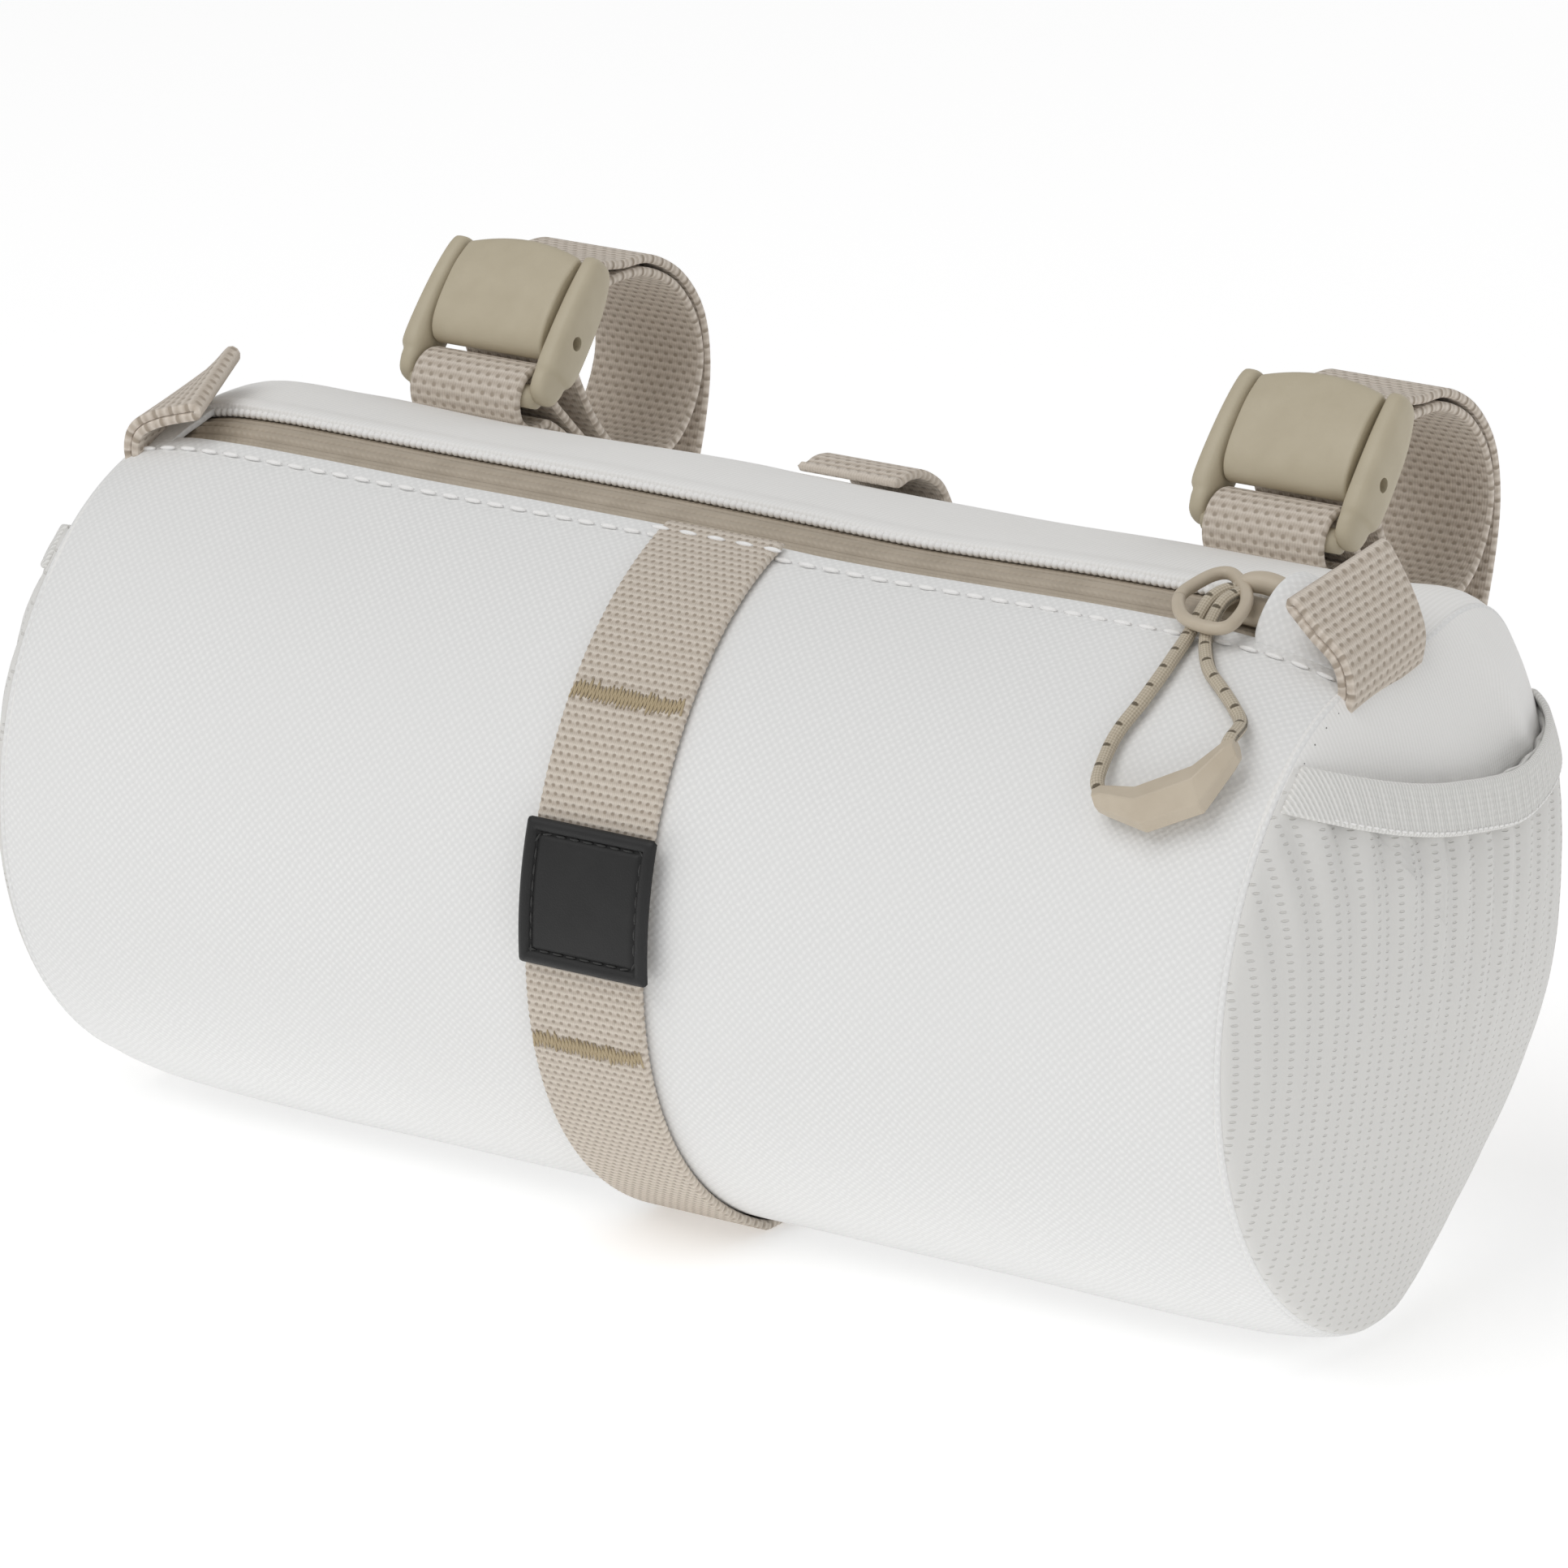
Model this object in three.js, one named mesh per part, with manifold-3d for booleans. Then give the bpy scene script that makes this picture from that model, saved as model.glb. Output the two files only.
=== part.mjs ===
import * as THREE from 'three';
import { mergeVertices } from 'three/addons/utils/BufferGeometryUtils.js';
import Module from 'manifold-3d';

const wasm = await Module();
wasm.setup();

// Roll, millimetres: the bag rests on z = 0 and its front faces -Y.
const roll = {
  radius: 54,
  rearDepth: 0.87,
  axisHeight: 52,
  wall: 2,
  shellEnd: 104.7,
  panelInner: 105,
  panelOuter: 107,
  endLean: 0.04,
  heelAngle: 240,
  heelReach: 58,
  heelLean: 0.045,
  heelTuck: 2,
  sagAngle: 88,
  sagReach: 38,
  fit: 0.3,
};
const slot = { front: 72, coil: 77.3, rear: 82, lipTop: 84.5, lipEnd: 87, lipRise: 0.8 };
const shellRows = { back: 19, base: 4, front: 17 };
const tape = {
  front: 66,
  under: -2.35,
  deck: -1.25,
  ridge: -0.6,
  thick: 1,
  end: 103,
  bendFrom: 0.4,
  bendTo: 1.4,
  ridgeFrom: 2,
  ridgeTo: 1.4,
  halfGap: 0.16,
};
const garage = {
  rightStart: 90.6,
  leftStart: -96,
  end: 103.2,
  from: -0.3,
  to: 0.7,
  sideGap: 0.4,
  columns: 3,
};
const webbing = {
  width: 20,
  thick: 1.4,
  centre: 0.5,
  topAngle: 71.3,
  backAngle: -210,
  rise: 0.3,
  sway: 2.5,
  swayAngle: 22,
  swayReach: 85,
};
const webbingRows = { front: 17, base: 4, back: 11 };
const patch = { centre: 3.6, width: 21.2, top: 17.4, bottom: -3.1, from: 2, to: 3.4, rows: 8, columns: 2 };
const panel = { dome: 2, rings: 3, spokes: 36 };
const pocket = {
  wall: 1.2,
  bulge: 10,
  lowShare: 0.25,
  fullFrom: -45,
  fullSpan: 65,
  roundness: 0.75,
  hemLow: 30,
  hemCurve: 0.0037,
  hemFall: 0.14,
  rings: 5,
  spokes: 36,
};
const hem = { height: 7.5, above: 0.7, thick: 1.1, rows: 2, columns: 22, frontY: -32.2, backY: 36.4 };
const ring = { halfX: 6, halfT: 6.6, wire: 0.9, sides: 8, steps: 24, x: 81.3, angle: 73.5, lift: 3.05 };
const cord = { radius: 1, sides: 8, steps: 46 };
const toggle = { x: 92.2, angle: 39.6, lift: 3.3, slope: 30 };
const slider = {
  x: 86.1,
  lift: -0.1,
  length: 6.8,
  width: 6.6,
  height: 1.4,
  bevel: 0.4,
  nose: 0.3,
  archWidth: 2.4,
};
const buckle = {
  x: 70,
  y: 25.5,
  z: 62,
  tilt: 49,
  cheekInner: 10.6,
  cheekThick: 2.9,
  bevel: 0.6,
  leverHalf: 10.2,
  pinRadius: 1.3,
  holeRadius: 1.65,
  barrel: 2.9,
  barGrip: 1,
  pinShort: 0.6,
  pinSides: 16,
  holeSides: 20,
  noseFrom: 80,
  noseTo: 300,
  noseSteps: 14,
};
const lowerBar = { u: -9.5, n: -0.6, radius: 1.8, sides: 14 };
const clampBar = { u: 5.5, n: -4.2, radius: 1.4, sides: 12 };
const fold = { radius: 2.9, steps: 48 };
const strapSteps = 76;
const rearLoop = { from: -9.6, to: 7.6, steps: 18 };
const tab = { layerHalf: 1.6, slotHalf: 0.2, frontY: -21, rearY: -1, tip: 1.3, steps: 8 };

// How far the radius draws in toward an end.
const endDrop = [
  { x: 0, drop: 0 },
  { x: 84, drop: 0 },
  { x: 95, drop: 0.4 },
  { x: 102, drop: 1.3 },
  { x: 104.7, drop: 2.1 },
  { x: 107, drop: 2.6 },
];

// How far the top of the roll sinks along its length.
const topSag = [
  { x: -107, sag: 2.2 },
  { x: -104.7, sag: 1.4 },
  { x: -95, sag: 0 },
  { x: -84, sag: 0 },
  { x: -14, sag: 0.4 },
  { x: 29, sag: 1.3 },
  { x: 58, sag: 0.4 },
  { x: 84, sag: 0.3 },
  { x: 95, sag: 1.3 },
  { x: 104.7, sag: 3 },
  { x: 107, sag: 3.8 },
];

// The base lifts over the webbing that runs under it.
const baseLift = [
  { x: 0, lift: 1.7 },
  { x: 11.2, lift: 1.7 },
  { x: 14, lift: 0 },
  { x: 107, lift: 0 },
];

// Handlebar strap from its seam on the back, over the loop, through the cam and round inside.
const strapSeam = [
  { angle: 204, lift: 1.1 },
  { angle: 196, lift: 1.1 },
  { angle: 188, lift: 1.1 },
  { angle: 181, lift: 1.3 },
];
const strapLoop = [
  { y: 51.5, z: 9 },
  { y: 57, z: 19 },
  { y: 62.5, z: 30 },
  { y: 66, z: 40.5 },
  { y: 67.2, z: 49.5 },
  { y: 65.4, z: 57.9 },
  { y: 59.9, z: 64.6 },
  { y: 52.1, z: 68.7 },
  { y: 44.8, z: 69.4 },
];
const strapCam = [
  { u: 13.6, n: -2.9 },
  { u: 9.5, n: -2.1 },
  { u: 5.6, n: -1.75 },
  { u: 3.3, n: -2.85 },
  { u: 1.6, n: -4.4 },
  { u: 0.5, n: -6.4 },
];
const strapTail = [
  { y: 33.4, z: 52.5 },
  { y: 37.3, z: 46.3 },
  { y: 43, z: 40.6 },
  { y: 50, z: 37.6 },
  { y: 57, z: 38 },
  { y: 62.3, z: 42.2 },
  { y: 65.3, z: 49.6 },
  { y: 63.6, z: 57 },
  { y: 58.6, z: 63.1 },
  { y: 51.4, z: 66.8 },
  { y: 44.6, z: 67.6 },
  { y: 39, z: 67.2 },
];

// Short webbing from the back of the roll, round the lower bar and back again.
const foldUnder = [
  { angle: 150, lift: 1.1 },
  { angle: 142, lift: 1.1 },
  { angle: 134, lift: 1.1 },
  { angle: 126, lift: 1.1 },
  { angle: 118, lift: 1.15 },
];
const foldTurn = [-78, -112, -150, 170, 130, 90, 48];
const foldOver = [
  { angle: 117.5, lift: 4.7 },
  { angle: 123, lift: 3.4 },
  { angle: 129, lift: 3 },
  { angle: 136, lift: 3 },
  { angle: 143, lift: 3 },
  { angle: 149, lift: 3 },
];

const rearTab = [
  { angle: 108.2, lift: 1.2 },
  { angle: 110.2, lift: 1.3 },
  { angle: 112.6, lift: 2.6 },
  { angle: 116.5, lift: 3.6 },
  { angle: 122, lift: 3.6 },
  { angle: 126.5, lift: 2.3 },
  { angle: 129.4, lift: 1.3 },
  { angle: 132.6, lift: 1.2 },
];

// Side tabs lean in over the roll: one row for each height of the front and the rear edge.
const tabLean = {
  left: [
    { frontX: 106.1, frontZ: 48.8, rearX: 106.1, rearZ: 52.7 },
    { frontX: 104.8, frontZ: 51.4, rearX: 105.1, rearZ: 54.6 },
    { frontX: 99.4, frontZ: 53.9, rearX: 102.8, rearZ: 56.4 },
    { frontX: 92, frontZ: 56, rearX: 99.8, rearZ: 59.6 },
  ],
  right: [
    { frontX: 106.1, frontZ: 48.1, rearX: 106.1, rearZ: 51.1 },
    { frontX: 104.7, frontZ: 50.9, rearX: 105, rearZ: 54.1 },
    { frontX: 101.2, frontZ: 54, rearX: 103.1, rearZ: 57.8 },
    { frontX: 97.7, frontZ: 57.3, rearX: 100.6, rearZ: 61.7 },
  ],
};

const cheekOutline = [
  { u: 12.9, n: -1.2 },
  { u: 12, n: 1 },
  { u: 8.5, n: 1.7 },
  { u: -3.5, n: 1.9 },
  { u: -6, n: 1.2 },
  { u: -11, n: 0.9 },
  { u: -12.5, n: -0.6 },
  { u: -12.3, n: -2.6 },
  { u: -10.4, n: -4 },
  { u: -6, n: -4.2 },
  { u: -3, n: -4.9 },
  { u: 3.5, n: -5.6 },
  { u: 8, n: -5.4 },
  { u: 11.5, n: -3.8 },
];
const leverPlate = [
  { u: 2.5, n: -1.5 },
  { u: 3.4, n: -0.6 },
  { u: 5.2, n: -0.35 },
  { u: 12.8, n: 0.1 },
  { u: 13.6, n: 0.8 },
  { u: 13.1, n: 1.8 },
  { u: 11, n: 2.6 },
  { u: 8, n: 3.3 },
  { u: 4.2, n: 3.4 },
  { u: 1.4, n: 3.05 },
];

const archRows = [
  { x: -3.4, z: 0.9 },
  { x: -3.4, z: 4.5 },
  { x: -2.6, z: 5.8 },
  { x: 2.2, z: 5.8 },
  { x: 3.2, z: 4.5 },
  { x: 3.4, z: 0.9 },
  { x: 2.5, z: 0.9 },
  { x: 2.4, z: 4.4 },
  { x: 1.9, z: 4.8 },
  { x: -1.9, z: 4.8 },
  { x: -2.4, z: 4.4 },
  { x: -2.4, z: 0.9 },
];

const toggleStations = [
  { along: -10.6, rise: 1.9, half: 1.7, depth: 1.6 },
  { along: -9.2, rise: 1.3, half: 2.4, depth: 2.2 },
  { along: -4.2, rise: -1.7, half: 3.5, depth: 2.7 },
  { along: 4.4, rise: -1.5, half: 3.6, depth: 2.7 },
  { along: 9.4, rise: 1.9, half: 2.3, depth: 2.2 },
  { along: 10.7, rise: 2.6, half: 1.7, depth: 1.6 },
];
const toggleFacets = [
  { across: 1, out: -0.35 },
  { across: 0.8, out: 0.55 },
  { across: 0.05, out: 1 },
  { across: -0.85, out: 0.5 },
  { across: -1, out: -0.3 },
  { across: -0.45, out: -1 },
  { across: 0.5, out: -1 },
];

// Cord legs between the toggle and the ring, on the cloth.
const cordLeft = [
  { x: 82, angle: 44.5, lift: 1.5 },
  { x: 82.3, angle: 48.6, lift: 1.5 },
  { x: 82.5, angle: 53.5, lift: 1.5 },
  { x: 82.3, angle: 57.5, lift: 1.5 },
  { x: 81.1, angle: 62, lift: 1.3 },
];
const cordHitch = [
  { x: 79.2, angle: 66.4, lift: 1.25 },
  { x: 77.9, angle: 71, lift: 2.2 },
  { x: 77.7, angle: 76.2, lift: 4.6 },
  { x: 78.4, angle: 80.6, lift: 5.75 },
  { x: 79.3, angle: 82.9, lift: 3.7 },
  { x: 80, angle: 80.2, lift: 1.05 },
  { x: 80.5, angle: 76.6, lift: 0.8 },
  { x: 81.2, angle: 71.6, lift: 1.3 },
  { x: 83.1, angle: 66.4, lift: 1.25 },
];
const cordRight = [
  { x: 85.6, angle: 62.4, lift: 1.5 },
  { x: 88.2, angle: 59.4, lift: 1.5 },
  { x: 91.6, angle: 57, lift: 1.5 },
  { x: 94.6, angle: 54.4, lift: 1.6 },
  { x: 96.6, angle: 51.6, lift: 2 },
];

// Where the cord goes into the two ends of the toggle.
const cordEnds = [
  { along: -8.6, across: 4.6, out: 0 },
  { along: 8.8, across: 5.4, out: 0 },
];

const surfaces = {
  cloth: { color: '#ecebe8', roughness: 0.88, metalness: 0 },
  coated: { color: '#efeeec', roughness: 0.7, metalness: 0 },
  mesh: { color: '#e6e5e2', roughness: 0.85, metalness: 0 },
  elastic: { color: '#e9e8e5', roughness: 0.85, metalness: 0 },
  zip: { color: '#a89c8b', roughness: 0.6, metalness: 0 },
  strap: { color: '#c4b6a5', roughness: 0.9, metalness: 0 },
  rubber: { color: '#3a3a39', roughness: 0.7, metalness: 0 },
  plastic: { color: '#b9af98', roughness: 0.55, metalness: 0 },
  pull: { color: '#cbbba8', roughness: 0.5, metalness: 0 },
  cord: { color: '#b3a68f', roughness: 0.85, metalness: 0 },
};

const part = new THREE.Group();
part.name = 'handlebar_roll_bag';

const rad = THREE.MathUtils.degToRad;

// Value of a table's column between its rows.
function column(table, at, name) {
  const last = table.length - 1;
  if (at <= table[0].x) {
    return table[0][name];
  }
  for (let i = 0; i < last; i += 1) {
    const a = table[i];
    const b = table[i + 1];
    if (at <= b.x) {
      return a[name] + ((b[name] - a[name]) * (at - a.x)) / (b.x - a.x);
    }
  }
  return table[last][name];
}

// Smooth rise and fall round an angle, one at its middle.
function hump(angle, middle, reach) {
  const away = Math.abs(((((angle - middle) % 360) + 540) % 360) - 180) / reach;
  return away < 1 ? Math.cos((away * Math.PI) / 2) ** 2 : 0;
}

// The back of the roll is flatter than its front.
function rearShare(c) {
  return c < 0 ? 1 - (1 - roll.rearDepth) * c * c : 1;
}

// One at the low back of the roll, nothing at the front and the top.
function heel(angle) {
  return hump(angle, roll.heelAngle, roll.heelReach);
}

function rollRadius(x, angle) {
  const top = hump(angle, roll.sagAngle, roll.sagReach);
  const drop = column(endDrop, Math.abs(x), 'drop');
  const tuck = roll.heelTuck * heel(angle) * (x / roll.panelOuter) ** 4;
  return roll.radius - drop - tuck - column(topSag, x, 'sag') * top;
}

// Point on the roll: angle is counted from the front over the top, lift is off the cloth.
function rollPoint(x, angle, lift = 0) {
  const c = Math.cos(rad(angle));
  const r = rollRadius(x, angle) + lift;
  const behind = Math.max(0, -c);
  const y = -r * c * rearShare(c);
  const floor = column(baseLift, Math.abs(x), 'lift') - lift;
  const z = Math.max(roll.axisHeight + r * Math.sin(rad(angle)), floor);
  const lean = (roll.endLean * behind + roll.heelLean * heel(angle)) * (x / roll.panelOuter) ** 2;
  return new THREE.Vector3(x * (1 - lean), y, z);
}

function span(from, to, count) {
  return Array.from({ length: count + 1 }, (_, i) => from + ((to - from) * i) / count);
}

// Closed body from points and triangles, faces turned outward.
function closedBody(points, faces) {
  let volume = 0;
  const cross = new THREE.Vector3();
  for (const [a, b, c] of faces) {
    volume += points[a].dot(cross.crossVectors(points[b], points[c]));
  }
  const turned = volume < 0 ? faces.map(([a, b, c]) => [a, c, b]) : faces;
  const geometry = new THREE.BufferGeometry();
  const flat = points.flatMap((p) => [p.x, p.y, p.z]);
  geometry.setAttribute('position', new THREE.Float32BufferAttribute(flat, 3));
  geometry.setIndex(turned.flat());
  return geometry;
}

function quad(faces, a, b, c, d) {
  faces.push([a, b, c], [a, c, d]);
}

// Curved plate between an outer and an inner face given over rows and columns.
function plate(rows, columns, outer, inner) {
  const points = [];
  const faces = [];
  const step = columns.length;
  const layer = rows.length * step;
  for (const face of [outer, inner]) {
    for (const r of rows) {
      for (const c of columns) {
        points.push(face(r, c));
      }
    }
  }
  const at = (i, j, k) => k * layer + i * step + j;
  const lastRow = rows.length - 1;
  const lastColumn = step - 1;
  for (let i = 0; i < lastRow; i += 1) {
    for (let j = 0; j < lastColumn; j += 1) {
      quad(faces, at(i, j, 0), at(i, j + 1, 0), at(i + 1, j + 1, 0), at(i + 1, j, 0));
      quad(faces, at(i, j, 1), at(i + 1, j, 1), at(i + 1, j + 1, 1), at(i, j + 1, 1));
    }
  }
  for (let i = 0; i < lastRow; i += 1) {
    quad(faces, at(i, 0, 0), at(i + 1, 0, 0), at(i + 1, 0, 1), at(i, 0, 1));
    const end = [at(i, lastColumn, 0), at(i, lastColumn, 1)];
    quad(faces, ...end, at(i + 1, lastColumn, 1), at(i + 1, lastColumn, 0));
  }
  for (let j = 0; j < lastColumn; j += 1) {
    quad(faces, at(0, j, 0), at(0, j, 1), at(0, j + 1, 1), at(0, j + 1, 0));
    const end = [at(lastRow, j, 0), at(lastRow, j + 1, 0)];
    quad(faces, ...end, at(lastRow, j + 1, 1), at(lastRow, j, 1));
  }
  return closedBody(points, faces);
}

// Round panel: share is 0 at the middle and 1 at the rim.
function dish(rings, spokes, outer, inner) {
  const points = [];
  const faces = [];
  const layer = 1 + rings * spokes;
  for (const face of [outer, inner]) {
    points.push(face(0, 0));
    for (let k = 1; k <= rings; k += 1) {
      for (let j = 0; j < spokes; j += 1) {
        points.push(face(k / rings, (360 * j) / spokes));
      }
    }
  }
  const at = (k, j, s) => s * layer + (k === 0 ? 0 : 1 + (k - 1) * spokes + (j % spokes));
  for (let j = 0; j < spokes; j += 1) {
    faces.push([at(0, 0, 0), at(1, j, 0), at(1, j + 1, 0)]);
    faces.push([at(0, 0, 1), at(1, j + 1, 1), at(1, j, 1)]);
    for (let k = 1; k < rings; k += 1) {
      quad(faces, at(k, j, 0), at(k + 1, j, 0), at(k + 1, j + 1, 0), at(k, j + 1, 0));
      quad(faces, at(k, j, 1), at(k, j + 1, 1), at(k + 1, j + 1, 1), at(k + 1, j, 1));
    }
    quad(faces, at(rings, j, 0), at(rings, j, 1), at(rings, j + 1, 1), at(rings, j + 1, 0));
  }
  return closedBody(points, faces);
}

// Body through closed outlines that all have the same count of points.
function loft(outlines, place) {
  const points = [];
  const faces = [];
  const count = outlines[0].length;
  outlines.forEach((outline, k) => outline.forEach((p) => points.push(place(p, k))));
  for (let k = 0; k < outlines.length - 1; k += 1) {
    for (let j = 0; j < count; j += 1) {
      const next = (j + 1) % count;
      quad(faces, k * count + j, k * count + next, (k + 1) * count + next, (k + 1) * count + j);
    }
  }
  const forward = THREE.ShapeUtils.isClockWise(outlines[0]);
  const caps = [
    { k: 0, first: true },
    { k: outlines.length - 1, first: false },
  ];
  for (const { k, first } of caps) {
    for (const [a, b, c] of THREE.ShapeUtils.triangulateShape(outlines[k], [])) {
      const face = [k * count + a, k * count + b, k * count + c];
      faces.push(first === forward ? face : [face[0], face[2], face[1]]);
    }
  }
  return closedBody(points, faces);
}

// Outline of a strip of even thickness along a line.
function strip(line, thick) {
  const left = [];
  const right = [];
  line.forEach((p, i) => {
    const before = line[Math.max(0, i - 1)];
    const after = line[Math.min(line.length - 1, i + 1)];
    const dir = after.clone().sub(before).normalize();
    const side = new THREE.Vector2(-dir.y, dir.x).multiplyScalar(thick / 2);
    left.push(p.clone().add(side));
    right.unshift(p.clone().sub(side));
  });
  return left.concat(right);
}

function smooth(points, count) {
  return new THREE.SplineCurve(points).getSpacedPoints(count);
}

// Outline in the YZ plane, run along X.
function alongX(outline, from, to) {
  const geometry = new THREE.ExtrudeGeometry(new THREE.Shape(outline), {
    depth: to - from,
    bevelEnabled: false,
  });
  return turnToX(geometry, from);
}

function turnToX(geometry, from) {
  const axes = new THREE.Matrix4().makeBasis(
    new THREE.Vector3(0, 1, 0),
    new THREE.Vector3(0, 0, 1),
    new THREE.Vector3(1, 0, 0),
  );
  geometry.applyMatrix4(axes);
  geometry.translate(from, 0, 0);
  return geometry;
}

function weld(geometry) {
  const bare = geometry.clone();
  bare.deleteAttribute('normal');
  bare.deleteAttribute('uv');
  return mergeVertices(bare, 1e-4);
}

function toManifold(geometry) {
  const bare = weld(geometry);
  return new wasm.Manifold(
    new wasm.Mesh({
      numProp: 3,
      vertProperties: new Float32Array(bare.attributes.position.array),
      triVerts: new Uint32Array(bare.index.array),
    }),
  );
}

function fromManifold(solid) {
  const mesh = solid.getMesh();
  const geometry = new THREE.BufferGeometry();
  geometry.setAttribute('position', new THREE.Float32BufferAttribute(mesh.vertProperties, 3));
  geometry.setIndex(Array.from(mesh.triVerts));
  return geometry;
}

function joined(pieces) {
  return pieces.map(toManifold).reduce((sum, piece) => sum.add(piece));
}

function addPart(name, geometry, surface) {
  const body = weld(geometry);
  body.computeVertexNormals();
  const material = new THREE.MeshStandardMaterial(surfaces[surface]);
  material.name = surface;
  const mesh = new THREE.Mesh(body, material);
  mesh.name = name;
  part.add(mesh);
}

// Stations along the roll between two ends, one at each bend in its form.
const endStations = endDrop.flatMap((row) => [-row.x, row.x]);
const sagStations = topSag.map((row) => row.x);
const baseStations = baseLift.flatMap((row) => [-row.x, row.x]);

function stationsBetween(from, to, bends) {
  const inside = bends.filter((x) => x > from && x < to);
  return [...new Set([from, ...inside, to])].sort((a, b) => a - b);
}

const shellBends = [...endStations, ...sagStations, ...baseStations];
const shellStations = stationsBetween(-roll.shellEnd, roll.shellEnd, shellBends);
const baseAngle = THREE.MathUtils.radToDeg(Math.acos(roll.axisHeight / roll.radius));
const shellAngles = [slot.rear, slot.lipTop]
  .concat(span(slot.lipEnd, 270 - baseAngle, shellRows.back))
  .concat(span(270 - baseAngle, 270 + baseAngle, shellRows.base).slice(1))
  .concat(span(270 + baseAngle, 360 + slot.front, shellRows.front).slice(1));

function lipLift(angle) {
  const share = (slot.lipEnd - angle) / (slot.lipEnd - slot.lipTop);
  return slot.lipRise * THREE.MathUtils.clamp(share, 0, 1);
}

addPart(
  'body_panel',
  plate(
    shellStations,
    shellAngles,
    (x, angle) => rollPoint(x, angle, lipLift(angle)),
    (x, angle) => rollPoint(x, angle, -roll.wall),
  ),
  'cloth',
);

// Zip tape halves: flat under the cloth, raised in the slot, highest at the coil.
const tapeHalf = [
  { angle: tape.front, lift: tape.under },
  { angle: slot.front + tape.bendFrom, lift: tape.under },
  { angle: slot.front + tape.bendTo, lift: tape.deck },
  { angle: slot.coil - tape.ridgeFrom, lift: tape.deck },
  { angle: slot.coil - tape.ridgeTo, lift: tape.ridge },
  { angle: slot.coil - tape.halfGap, lift: tape.ridge },
];
const tapeStations = stationsBetween(-tape.end, tape.end, [...endStations, ...sagStations]);

function zipHalf(mirrored) {
  const place = (x, row, thick) => {
    const angle = mirrored ? 2 * slot.coil - row.angle : row.angle;
    return rollPoint(x, angle, row.lift - thick);
  };
  return plate(
    tapeStations,
    tapeHalf,
    (x, row) => place(x, row, 0),
    (x, row) => place(x, row, tape.thick),
  );
}

addPart('zip_tape_front', zipHalf(false), 'zip');
addPart('zip_tape_rear', zipHalf(true), 'zip');

const garageAngles = span(slot.front + garage.sideGap, slot.rear - garage.sideGap, garage.columns);
const garageRuns = [
  { name: 'zip_garage_left', from: -garage.end, to: garage.leftStart },
  { name: 'zip_garage_right', from: garage.rightStart, to: garage.end },
];
for (const run of garageRuns) {
  const stations = stationsBetween(run.from, run.to, endStations);
  const face = (lift) => (x, angle) => rollPoint(x, angle, lift);
  addPart(run.name, plate(stations, garageAngles, face(garage.to), face(garage.from)), 'coated');
}

// End panels, mesh pockets and their hems.
function rimShare(side, angle) {
  const rim = rollPoint(side * roll.panelOuter, angle);
  const y = rim.y;
  const z = rim.z - roll.axisHeight;
  if (z <= 0) {
    return 1;
  }
  const height = z + pocket.hemFall * y;
  const inside = height * height - 4 * pocket.hemCurve * y * y * pocket.hemLow;
  if (height <= 0 || inside < 0) {
    return 1;
  }
  const share = (2 * pocket.hemLow) / (height + Math.sqrt(inside));
  return Math.min(1, share);
}

function endPoint(side, station, mid, share, angle) {
  const rim = rollPoint(side * station, angle);
  const x = rim.x * share ** 2 + side * mid * (1 - share ** 2);
  const z = roll.axisHeight + (rim.z - roll.axisHeight) * share;
  return new THREE.Vector3(x, rim.y * share, z);
}

function pocketPoint(side, off, share, angle) {
  const station = roll.panelOuter + roll.fit + off;
  const p = endPoint(side, station, station, share, angle);
  const rise = (p.z - roll.axisHeight - pocket.fullFrom) / pocket.fullSpan;
  const full = pocket.lowShare + (1 - pocket.lowShare) * THREE.MathUtils.clamp(rise, 0, 1);
  p.x += side * pocket.bulge * full * Math.max(0, 1 - share ** 2) ** pocket.roundness;
  return p;
}

function hemPoint(side, off, y, drop) {
  const z = pocket.hemLow + pocket.hemCurve * y * y - pocket.hemFall * y + hem.above - drop;
  const angle = THREE.MathUtils.radToDeg(Math.atan2(z, -y));
  const rim = rollPoint(side * roll.panelOuter, angle);
  const share = Math.hypot(y, z) / Math.hypot(rim.y, rim.z - roll.axisHeight);
  return pocketPoint(side, off, Math.min(share, 1), angle);
}

for (const { label, side } of [{ label: 'left', side: -1 }, { label: 'right', side: 1 }]) {
  const mid = roll.panelOuter + panel.dome;
  addPart(
    `end_panel_${label}`,
    dish(
      panel.rings,
      panel.spokes,
      (share, angle) => endPoint(side, roll.panelOuter, mid, share, angle),
      (share, angle) => endPoint(side, roll.panelInner, mid - roll.wall, share, angle),
    ),
    'coated',
  );
  addPart(
    `mesh_pocket_${label}`,
    dish(
      pocket.rings,
      pocket.spokes,
      (share, angle) => pocketPoint(side, pocket.wall, share * rimShare(side, angle), angle),
      (share, angle) => pocketPoint(side, 0, share * rimShare(side, angle), angle),
    ),
    'mesh',
  );
  const from = pocket.wall + roll.fit;
  const drops = span(0, hem.height, hem.rows);
  const run = span(hem.frontY, hem.backY, hem.columns);
  addPart(
    `pocket_hem_${label}`,
    plate(
      drops,
      run,
      (drop, y) => hemPoint(side, from + hem.thick, y, drop),
      (drop, y) => hemPoint(side, from, y, drop),
    ),
    'elastic',
  );
}

// Webbing down the front, under the base and up the back, a little off line over the front.
function swayed(angle) {
  return webbing.sway * hump(angle, webbing.swayAngle, webbing.swayReach);
}

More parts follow.
